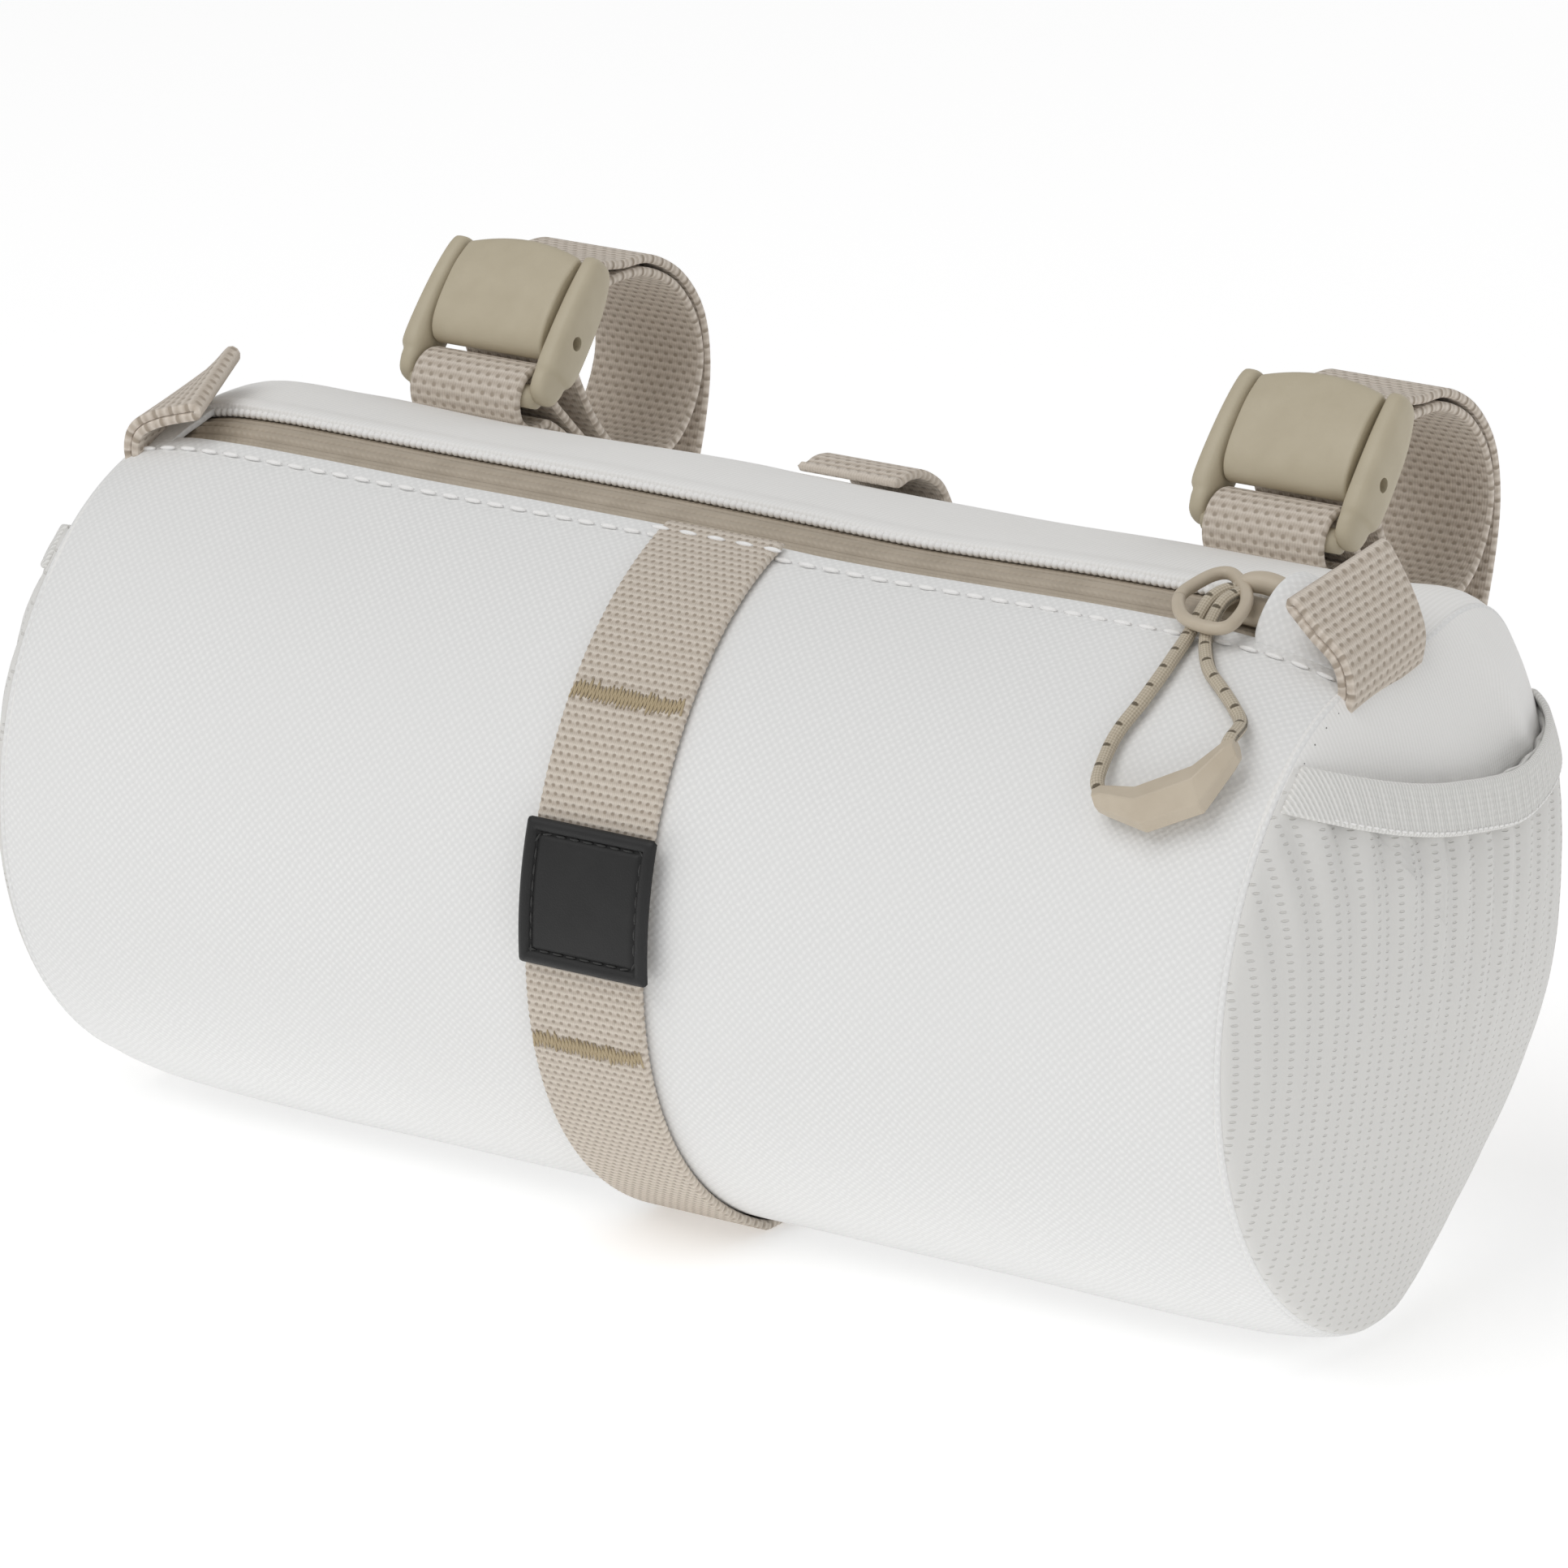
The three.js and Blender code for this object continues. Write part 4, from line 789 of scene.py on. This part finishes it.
def ribbon(name, node, sheet, across, material=beigeWebbing):
    run = lengths(sheet[:, sheet.shape[1] // 2])
    ends = rounded(run, webbing["thick"], webbing["end"])
    half = np.minimum.outer(ends, rounded(across, webbing["thick"], webbing["edge"]))
    dressed(solidSheet(name, sheet, half, across[None, :], run[:, None], material), "strap", node)


def acrossX(line, x):
    size = (len(line), len(x))
    return np.stack([np.broadcast_to(part, size) for part in (x[None, :], line[:, :1], line[:, 1:])], -1)


def bandMiddle(angle):
    return webbing["centre"] + webbing["sway"] * hump(angle, webbing["swayAngle"], webbing["swayReach"])


webX = centred(webbing["width"] / 2, webbing["step"], webbing["edge"])
webAngle = np.linspace(webbing["top"], webbing["back"], webbing["points"])
scallop = 1 + webbing["scallop"] * np.where(np.arange(len(webAngle)) % 2 == 0, 1, -1)  # yarns turn at the edge
x = bandMiddle(webAngle)[:, None] + webX[None, :] * scallop[:, None]
front = rollPoint(x, webAngle[:, None], webbing["rise"] + webbing["thick"] / 2)
ribbon("front_band", "front_webbing", front, webX, fineWebbing)

buckle = {"x": 70, "y": 25.5, "z": 62, "tilt": 49, "strapPoints": 440, "foldPoints": 190}
uAxis = np.array([math.cos(math.radians(buckle["tilt"])), math.sin(math.radians(buckle["tilt"]))])
nAxis = np.array([-uAxis[1], uAxis[0]])


def onBuckle(u, n):
    return np.array([buckle["y"], buckle["z"] + roll["axis"]]) + uAxis * u + nAxis * n


def offAxis(y, z):
    return np.array([y, z + roll["axis"]])


def onRoll(x, angle, lift):
    return rollPoint(x, angle, lift)[1:]


strapSeam = [(204, 1.1), (196, 1.1), (188, 1.1), (181, 1.3)]
strapLoop = [(51.5, 9), (57, 19), (62.5, 30), (66, 40.5), (67.2, 49.5), (65.4, 57.9), (59.9, 64.6), (52.1, 68.7),
             (44.8, 69.4)]
strapCam = [(13.6, -2.9), (9.5, -2.1), (5.6, -1.75), (3.3, -2.85), (1.6, -4.4), (0.5, -6.4)]
strapTail = [(33.4, 52.5), (37.3, 46.3), (43, 40.6), (50, 37.6), (57, 38), (62.3, 42.2), (65.3, 49.6),
             (63.6, 57), (58.6, 63.1), (51.4, 66.8), (44.6, 67.6), (39, 67.2)]
foldUnder = [(150, 1.1), (142, 1.1), (134, 1.1), (126, 1.1), (118, 1.15)]
foldTurn = {"angles": [-78, -112, -150, 170, 130, 90, 48], "radius": 4.7, "u": -9.1, "n": -2.9}
foldOver = [(117.5, 4.7), (123, 3.4), (129, 3), (136, 3), (143, 3), (149, 3)]
rearTab = [(108.2, 1.2), (110.2, 1.3), (112.6, 2.6), (116.5, 3.6), (122, 3.6), (126.5, 2.3), (129.4, 1.3),
           (132.6, 1.2)]

for label, side in bothEnds:
    middle = side * buckle["x"]
    line = smoothLine([onRoll(middle, *p) for p in strapSeam] + [offAxis(*p) for p in strapLoop]
                      + [onBuckle(*p) for p in strapCam] + [offAxis(*p) for p in strapTail], buckle["strapPoints"])
    ribbon("bar_strap_" + label, "handlebar_strap_" + label, acrossX(line, middle + webX), webX)
    centre = onBuckle(foldTurn["u"], foldTurn["n"])
    bend = [centre + foldTurn["radius"] * np.array([math.cos(math.radians(t)), math.sin(math.radians(t))])
            for t in foldTurn["angles"]]
    line = smoothLine([onRoll(middle, *p) for p in foldUnder] + bend
                      + [onRoll(middle, *p) for p in foldOver], buckle["foldPoints"])
    ribbon("buckle_band_" + label, "buckle_loop_" + label, acrossX(line, middle + webX), webX)

rearLoop = {"half": 8.6, "x": -1.0, "points": 60}
tabX = centred(rearLoop["half"], webbing["step"], webbing["edge"])
line = smoothLine([onRoll(0, *p) for p in rearTab], rearLoop["points"])
ribbon("rear_band", "rear_tab", acrossX(line, tabX + rearLoop["x"]), tabX)

# Folded side tabs. Rows: x and height at the front edge, then at the rear edge
tabLean = {
    "left": [(103.2, 44.6, 104.6, 48.2), (104.1, 48.4, 105.2, 51.6), (103.0, 51.6, 104.9, 54.4),
             (98.8, 54.0, 102.6, 56.5), (92, 56, 99.8, 59.6)],
    "right": [(105.4, 42.6, 105.6, 46), (106.4, 46.6, 106.2, 50.2), (105.0, 50.8, 105, 54.1),
              (101.2, 54, 103.1, 57.8), (97.7, 57.3, 100.6, 61.7)],
}
tab = {"front": -21, "rear": -1, "apart": 0.71, "points": 26, "tipFrom": 0.3, "tipPoints": 7, "around": 70}
for label, side in bothEnds:
    edges = []
    for first in (0, 2):
        spine = smoothLine([row[first:first + 2] for row in tabLean[label]], tab["points"])
        dirs = np.gradient(spine, axis=0)
        dirs /= np.linalg.norm(dirs, axis=1, keepdims=True)
        off = np.stack([-dirs[:, 1], dirs[:, 0]], -1) * tab["apart"]
        tip = [spine[-1] + off[-1] * math.cos(t) + dirs[-1] * tab["apart"] * math.sin(t)
               for t in np.linspace(tab["tipFrom"], math.pi - tab["tipFrom"], tab["tipPoints"])]
        edges.append(evenLine(np.vstack([spine + off, tip, (spine - off)[::-1]]), tab["around"]))
    depth = webX / webbing["width"] + 0.5
    flat = edges[0][:, None] * (1 - depth)[None, :, None] + edges[1][:, None] * depth[None, :, None]
    y = tab["front"] + (tab["rear"] - tab["front"]) * depth
    y = np.broadcast_to(y[None, :], flat.shape[:2])
    sheet = np.stack([side * flat[..., 0], y, flat[..., 1] + roll["axis"]], -1)
    ribbon("side_band_" + label, "side_tab_" + label, sheet, webX)
print("webbing ready")

# Rubber patch with a raised border
patch = {"centre": 3.6, "width": 21.2, "top": 17.4, "bottom": -3.1, "radius": 57, "from": 2, "to": 3.4,
         "step": 0.35, "edge": 0.5, "border": 1.0, "groove": 2.0, "slope": 0.3, "raised": 0.2, "sunk": 0.85,
         "middle": 0.45, "round": 0.6}
patchX = centred(patch["width"] / 2, patch["step"], patch["edge"])
patchEnds = (math.radians(patch[end]) * patch["radius"] for end in ("bottom", "top"))
patchArc = edged(*patchEnds, patch["step"], patch["edge"])
gx, gy = np.meshgrid(patchX, patchArc, indexing="ij")
away = np.minimum(patch["width"] / 2 - np.abs(gx), np.minimum(gy - patchArc[0], patchArc[-1] - gy))
fall, rise = (ramp(away - patch[line], patch["slope"]) for line in ("border", "groove"))
top = patch["to"] + patch["raised"] - patch["sunk"] * fall ** 2 * (3 - 2 * fall)
top = top + patch["middle"] * rise ** 2 * (3 - 2 * rise)
shortness = 1 - np.minimum(away / patch["round"], 1)
top = top - patch["round"] * (1 - np.sqrt(1 - shortness ** 2))
sheet = rollPoint(patch["centre"] + gx, np.degrees(gy / patch["radius"]), (top + patch["from"]) / 2)
square = solidSheet("patch", sheet, (top - patch["from"]) / 2, gx, gy, blackRubber)
dressed(square, "rubber", "rubber_patch")

# Buckle cheeks. Rows: along, out, half depth, inner and outer face
railRows = [
    (-10.3, -0.9, 0.6, 11.3, 12.6), (-10.0, -0.9, 1.7, 10.9, 13.2), (-9.2, -0.8, 2.6, 10.6, 13.6),
    (-7.6, -0.8, 3.2, 10.5, 13.8), (-6.4, -0.8, 3.3, 10.5, 13.9), (-5.4, -0.9, 3.8, 10.45, 14.5),
    (-3.0, -1.0, 4.2, 10.45, 14.6), (2.0, -1.0, 4.3, 10.45, 14.5), (7.0, -1.0, 4.1, 10.45, 14.3),
    (11.0, -0.8, 3.4, 10.5, 14.0), (13.0, -0.6, 2.7, 10.6, 13.6), (13.6, -0.5, 1.8, 10.8, 13.2),
    (13.8, -0.5, 0.6, 11.3, 12.6),
]
cheek = {"points": 64, "sides": 28, "square": 0.72}
pinHole = {"x": 14.6, "out": -0.4, "radius": 1.1, "deep": 4.4, "sides": 32, "sharp": 38}
bars = {"half": 11.2, "points": 8, "sides": 20, "rows": (("lower", 1.8, -9.5, -0.9), ("clamp", 1.4, 5.5, -4.2))}
leverLine = [(13.2, 1.9), (11, 2.7), (8, 3.35), (4.2, 3.5), (1.0, 3.3), (-1.6, 2.6), (-3.2, 1.1), (-3.4, -0.8),
             (-2.4, -2.2), (-0.6, -2.9), (1.2, -2.6), (2.5, -1.5), (3.4, -0.6), (5.2, -0.35), (12.6, 0.1),
             (13.5, 0.8)]
lever = {"half": 10.2, "edge": 0.55, "step": 1.0, "arch": 1.7, "archLow": 0.6, "archFrom": 5.5, "archOver": 8,
         "points": 72, "spacing": 0.5}


def placed(x, u, n):
    p = np.array([buckle["y"], buckle["z"] + roll["axis"]]) + u[..., None] * uAxis + n[..., None] * nAxis
    return np.concatenate([np.broadcast_to(x, u.shape)[..., None], p], -1)


def cutRound(piece, centre, hole):
    mesh = bpy.data.meshes.new("cutter")
    work = bmesh.new()
    turned = Matrix.Translation(Vector(centre) * mm) @ Matrix.Rotation(math.pi / 2, 4, "Y")
    bmesh.ops.create_cone(work, cap_ends=True, segments=hole["sides"], radius1=hole["radius"] * mm,
                          radius2=hole["radius"] * mm, depth=hole["deep"] * mm, matrix=turned)
    work.to_mesh(mesh)
    work.free()
    cutter = inScene("cutter", mesh)
    change = piece.modifiers.new("bore", "BOOLEAN")
    change.object = cutter
    change.operation = "DIFFERENCE"
    change.solver = "EXACT"
    result = plainMesh(piece)
    piece.modifiers.remove(change)
    piece.data = result
    result.set_sharp_from_angle(angle=math.radians(hole["sharp"]))
    bpy.data.objects.remove(cutter)


railRun = smoothLine(railRows, cheek["points"])
turn = np.linspace(0, 2 * math.pi, cheek["sides"], endpoint=False)
squareX, squareN = (np.sign(way) * np.abs(way) ** cheek["square"] for way in (np.cos(turn), np.sin(turn)))
outline = smoothLoop(leverLine, lever["points"])
inward = np.roll(outline, 1, axis=0) - np.roll(outline, -1, axis=0)
inward = np.stack([inward[:, 1], -inward[:, 0]], -1)
inward /= np.linalg.norm(inward, axis=1, keepdims=True)
inward *= np.sign(np.sum(inward * (outline.mean(0) - outline), axis=1).sum())
leverX = centred(lever["half"], lever["step"], lever["edge"])
for label, side in bothEnds:
    middle = side * buckle["x"]
    for place, hand in (("inner", -side), ("outer", side)):
        u, n, deep, near, far = (railRun[:, k:k + 1] for k in range(5))
        x = middle + hand * ((near + far) / 2 + (far - near) / 2 * squareX[None, :])
        at = placed(x, u + 0 * x, n + deep * squareN[None, :])
        rail = ringSkin("buckle_rail_" + place + "_" + label, at, turn[None, :], u, beigePlastic)
        bore = placed(np.array(middle + hand * pinHole["x"]), np.array(0.0), np.array(pinHole["out"]))
        cutRound(rail, bore, pinHole)
        dressed(rail, "plastic", "buckle_frame_" + label)
    ends = middle + np.linspace(-bars["half"], bars["half"], bars["points"])
    for bar, radius, along, out in bars["rows"]:
        rod = placed(ends, np.full(len(ends), along), np.full(len(ends), out))
        dressed(tube("buckle_bar_" + bar + "_" + label, rod, radius, bars["sides"], beigePlastic), "plastic")
    short = lever["edge"] - rounded(leverX, 2 * lever["edge"], lever["edge"])
    line = outline[None] + inward[None] * short[:, None, None]
    arch = lever["arch"] * (1 - (leverX / lever["half"]) ** 2)
    bowed = ramp(line[..., 0] - lever["archFrom"], lever["archOver"])
    u = line[..., 0] + (arch[:, None] - lever["archLow"]) * bowed
    run = np.arange(len(outline)) * lever["spacing"]
    plate = ringSkin("lever_plate_" + label, placed(middle + leverX[:, None] + 0 * u, u, line[..., 1]),
                     run[None, :], leverX[:, None], beigePlastic, body="lever_" + label)
    dressed(plate, "plastic", "buckle_lever_" + label)

# The pull ring lies on the zip, and its tongue runs back under the cloth.
ring = {"wire": 0.95, "x": 82.1, "angle": 73.5, "lift": 3.0, "narrow": 0.88, "points": 96, "sides": 16}
ringLine = [(-5.9, -0.6), (-2.2, -4.9), (3.4, -6.3), (6.3, -4.9), (5.7, 0.2), (3.2, 4.0), (-1.2, 7.2), (-3.9, 6.6),
            (-5.6, 3.2)]
lean = math.radians(90 - ring["angle"])
flat = smoothLoop(ringLine, ring["points"])
flat = np.vstack([flat, flat[:1]])
loop = np.stack([flat[:, 0] * ring["narrow"], flat[:, 1] * math.cos(lean), flat[:, 1] * math.sin(lean)], -1)
loop = loop + rollPoint(ring["x"], ring["angle"], ring["lift"])
dressed(tube("pull_ring", loop, ring["wire"], ring["sides"], pullPlastic), "pull", "zip_pull_ring")
# Rows: x, angle, lift, radius
tongue = {"points": 40, "sides": 18, "rows": [
    (82.6, 78.4, 2.2, 0.9), (83.4, 79, 3, 1.2), (84.8, 79.7, 3.6, 1.5), (87.2, 80.3, 3.7, 1.65), (90, 80.3, 3.2, 1.6),
    (92, 80, 1.8, 1.4)]}
run = smoothLine(tongue["rows"], tongue["points"])
dressed(tube("slider_bridge", rollPoint(*run[:, :3].T), run[:, 3], tongue["sides"], pullPlastic), "pull")
slider = {"x": 86.1, "length": 7.2, "width": 6.4, "thick": 1.5, "lift": 0.55, "step": 0.5, "edge": 0.6}
sliderX, sliderT = (centred(slider[size] / 2, slider["step"], slider["edge"]) for size in ("length", "width"))
half = np.minimum.outer(*(rounded(at, slider["thick"], slider["edge"]) for at in (sliderX, sliderT)))
turned = slot["coil"] + np.degrees(sliderT / roll["radius"])
sheet = rollPoint(slider["x"] + sliderX[:, None], turned[None, :], slider["lift"])
slide = solidSheet("slider", sheet, half, sliderX[:, None], sliderT[None, :], pullPlastic)
dressed(slide, "pull", "zip_slider")
print("hard pieces ready")


# Stitches
def stitchGroup():
    group = bpy.data.node_groups.new("stitch_row", "GeometryNodeTree")
    for name, kind in (("Geometry", "Geometry"), ("Pitch", "Float"), ("Length", "Float"), ("Thickness", "Float"),
                       ("Thread", "Material")):
        group.interface.new_socket(name, in_out="INPUT", socket_type="NodeSocket" + kind)
    group.interface.new_socket("Geometry", in_out="OUTPUT", socket_type="NodeSocketGeometry")
    add = partial(addNode, group)
    start = add("NodeGroupInput").outputs
    line = add("GeometryNodeMeshToCurve", Mesh=start["Geometry"])
    dots = add("GeometryNodeResampleCurve", Curve=line, Length=start["Pitch"], mode="LENGTH")
    bead = add("GeometryNodeMeshUVSphere", Segments=8, Rings=6, Radius=0.5)  # one across, scaled to a stitch
    turned = add("FunctionNodeAlignRotationToVector", Vector=add("GeometryNodeInputTangent"), axis="X")
    size = add("CombineXYZ", start["Length"], start["Thickness"], start["Thickness"])
    sewn = add("GeometryNodeInstanceOnPoints", Points=dots, Instance=bead, Rotation=turned, Scale=size)
    real = add("GeometryNodeRealizeInstances", Geometry=sewn)
    smooth = add("GeometryNodeSetShadeSmooth", Geometry=real)
    dyed = add("GeometryNodeSetMaterial", Geometry=smooth, Material=start["Thread"])
    add("NodeGroupOutput", Geometry=dyed)
    return group


stitches = stitchGroup()


def stitchRow(name, path, look, thread, slotName):
    path = np.asarray(path, float) * mm
    base = bpy.data.meshes.new(name + "_line")
    base.from_pydata(path.tolist(), [(i, i + 1) for i in range(len(path) - 1)], [])
    line = inScene(name + "_line", base)
    modifier = line.modifiers.new("stitches", "NODES")
    modifier.node_group = stitches
    values = {"Pitch": look["pitch"] * mm, "Length": look["length"] * mm, "Thickness": look["thick"] * mm,
              "Thread": thread}
    for item in stitches.interface.items_tree:
        if item.in_out == "INPUT" and item.name in values:
            modifier[item.identifier] = values[item.name]
    mesh = plainMesh(line)
    mesh.name = name
    bpy.data.objects.remove(line)
    dressed(linked(name, mesh), slotName)


bandTop = webbing["rise"] + webbing["thick"]
seam = {"pitch": 3.9, "length": 3.2, "thick": 0.7, "lift": 0.2, "bandLift": 0.1, "left": (-102, -9.5, 120),
        "right": (12.7, 102, 120), "band": (-8.1, 11.3, 30)}
for label, side in bothEnds:
    path = rollPoint(np.linspace(*seam[label]), body["seam"], seam["lift"])
    stitchRow("seam_zip_" + label, path, seam, whiteThread, "cloth")
path = rollPoint(np.linspace(*seam["band"]), body["seam"], bandTop + seam["bandLift"])
stitchRow("seam_band", path, seam, whiteThread, "strap")
overlock = {"pitch": 1.1, "length": 1.3, "thick": 1.3, "angle": 81.9, "lift": -0.3, "span": (-103, 86, 300)}
path = rollPoint(np.linspace(*overlock["span"]), overlock["angle"], overlock["lift"])
stitchRow("seam_lip", path, overlock, whiteThread, "cloth")
prick = {"pitch": 3.4, "length": 0.75, "thick": 0.5, "lift": 0.05, "share": 0.98, "span": (20, 160, 200)}
flatlock = {"pitch": 1.4, "length": 1.1, "thick": 0.34, "in": 0.7, "short": 0.5, "lift": 0.4, "points": 200}
for label, side in bothEnds:
    path = endSurface(side, prick["lift"], prick["share"], np.linspace(*prick["span"]))
    stitchRow("seam_end_" + label, path, prick, greyThread, "coated")
    drop = np.array([hem["height"] - flatlock["in"]])
    reach = hemEnd(side, drop, -1)[0] + flatlock["short"], hemEnd(side, drop, 1)[0] - flatlock["short"]
    lift = pocket["wall"] + flatlock["lift"] + hem["thick"]
    path = hemPoint(side, lift, np.linspace(*reach, flatlock["points"]), drop)
    stitchRow("seam_pocket_" + label, path, flatlock, whiteThread, "elastic")
groove = {"pitch": 2.3, "length": 1.7, "thick": 0.36, "in": 0.4, "sunk": 0.5, "points": 40}
inset = (patch["border"] + patch["groove"] + groove["in"]) / 2
cx, y0, y1 = patch["width"] / 2 - inset, patchArc[0] + inset, patchArc[-1] - inset
corner = [(-cx, y0), (cx, y0), (cx, y1), (-cx, y1), (-cx, y0)]
path = np.vstack([np.linspace(a, b, groove["points"]) for a, b in zip(corner, corner[1:])])
turned = np.degrees(path[:, 1] / patch["radius"])
path = rollPoint(patch["centre"] + path[:, 0], turned, patch["to"] - groove["sunk"])
stitchRow("seam_patch", path, groove, darkThread, "rubber")

# Bar tacks: one thread to and fro across the front band
tack = {"width": 19, "height": 2.6, "turns": 30, "thick": 0.36, "lift": 0.12, "slant": 1.02, "stray": 0.3,
        "seed": 5, "perTurn": 8, "sides": 6, "rows": (("tack_upper", 37.5), ("tack_lower", -16.7))}
for name, angle in tack["rows"]:
    count = np.arange(2 * tack["turns"] + 1)
    stray = np.random.default_rng(tack["seed"]).normal(0, tack["stray"], len(count))
    turns = np.linspace(-0.5, 0.5, len(count)) * tack["width"]
    zigzag = np.where(count % 2 == 0, -0.5, 0.5) * tack["height"] + stray
    at = np.linspace(0, count[-1], tack["perTurn"] * tack["turns"] + 1)
    along, up = np.interp(at, count, turns), np.interp(at, count, zigzag) * tack["slant"]
    path = rollPoint(bandMiddle(angle) + along, angle + up, bandTop + tack["lift"])
    dressed(tube(name, path, tack["thick"] / 2, tack["sides"], goldenThread), "strap")
print("stitches ready")
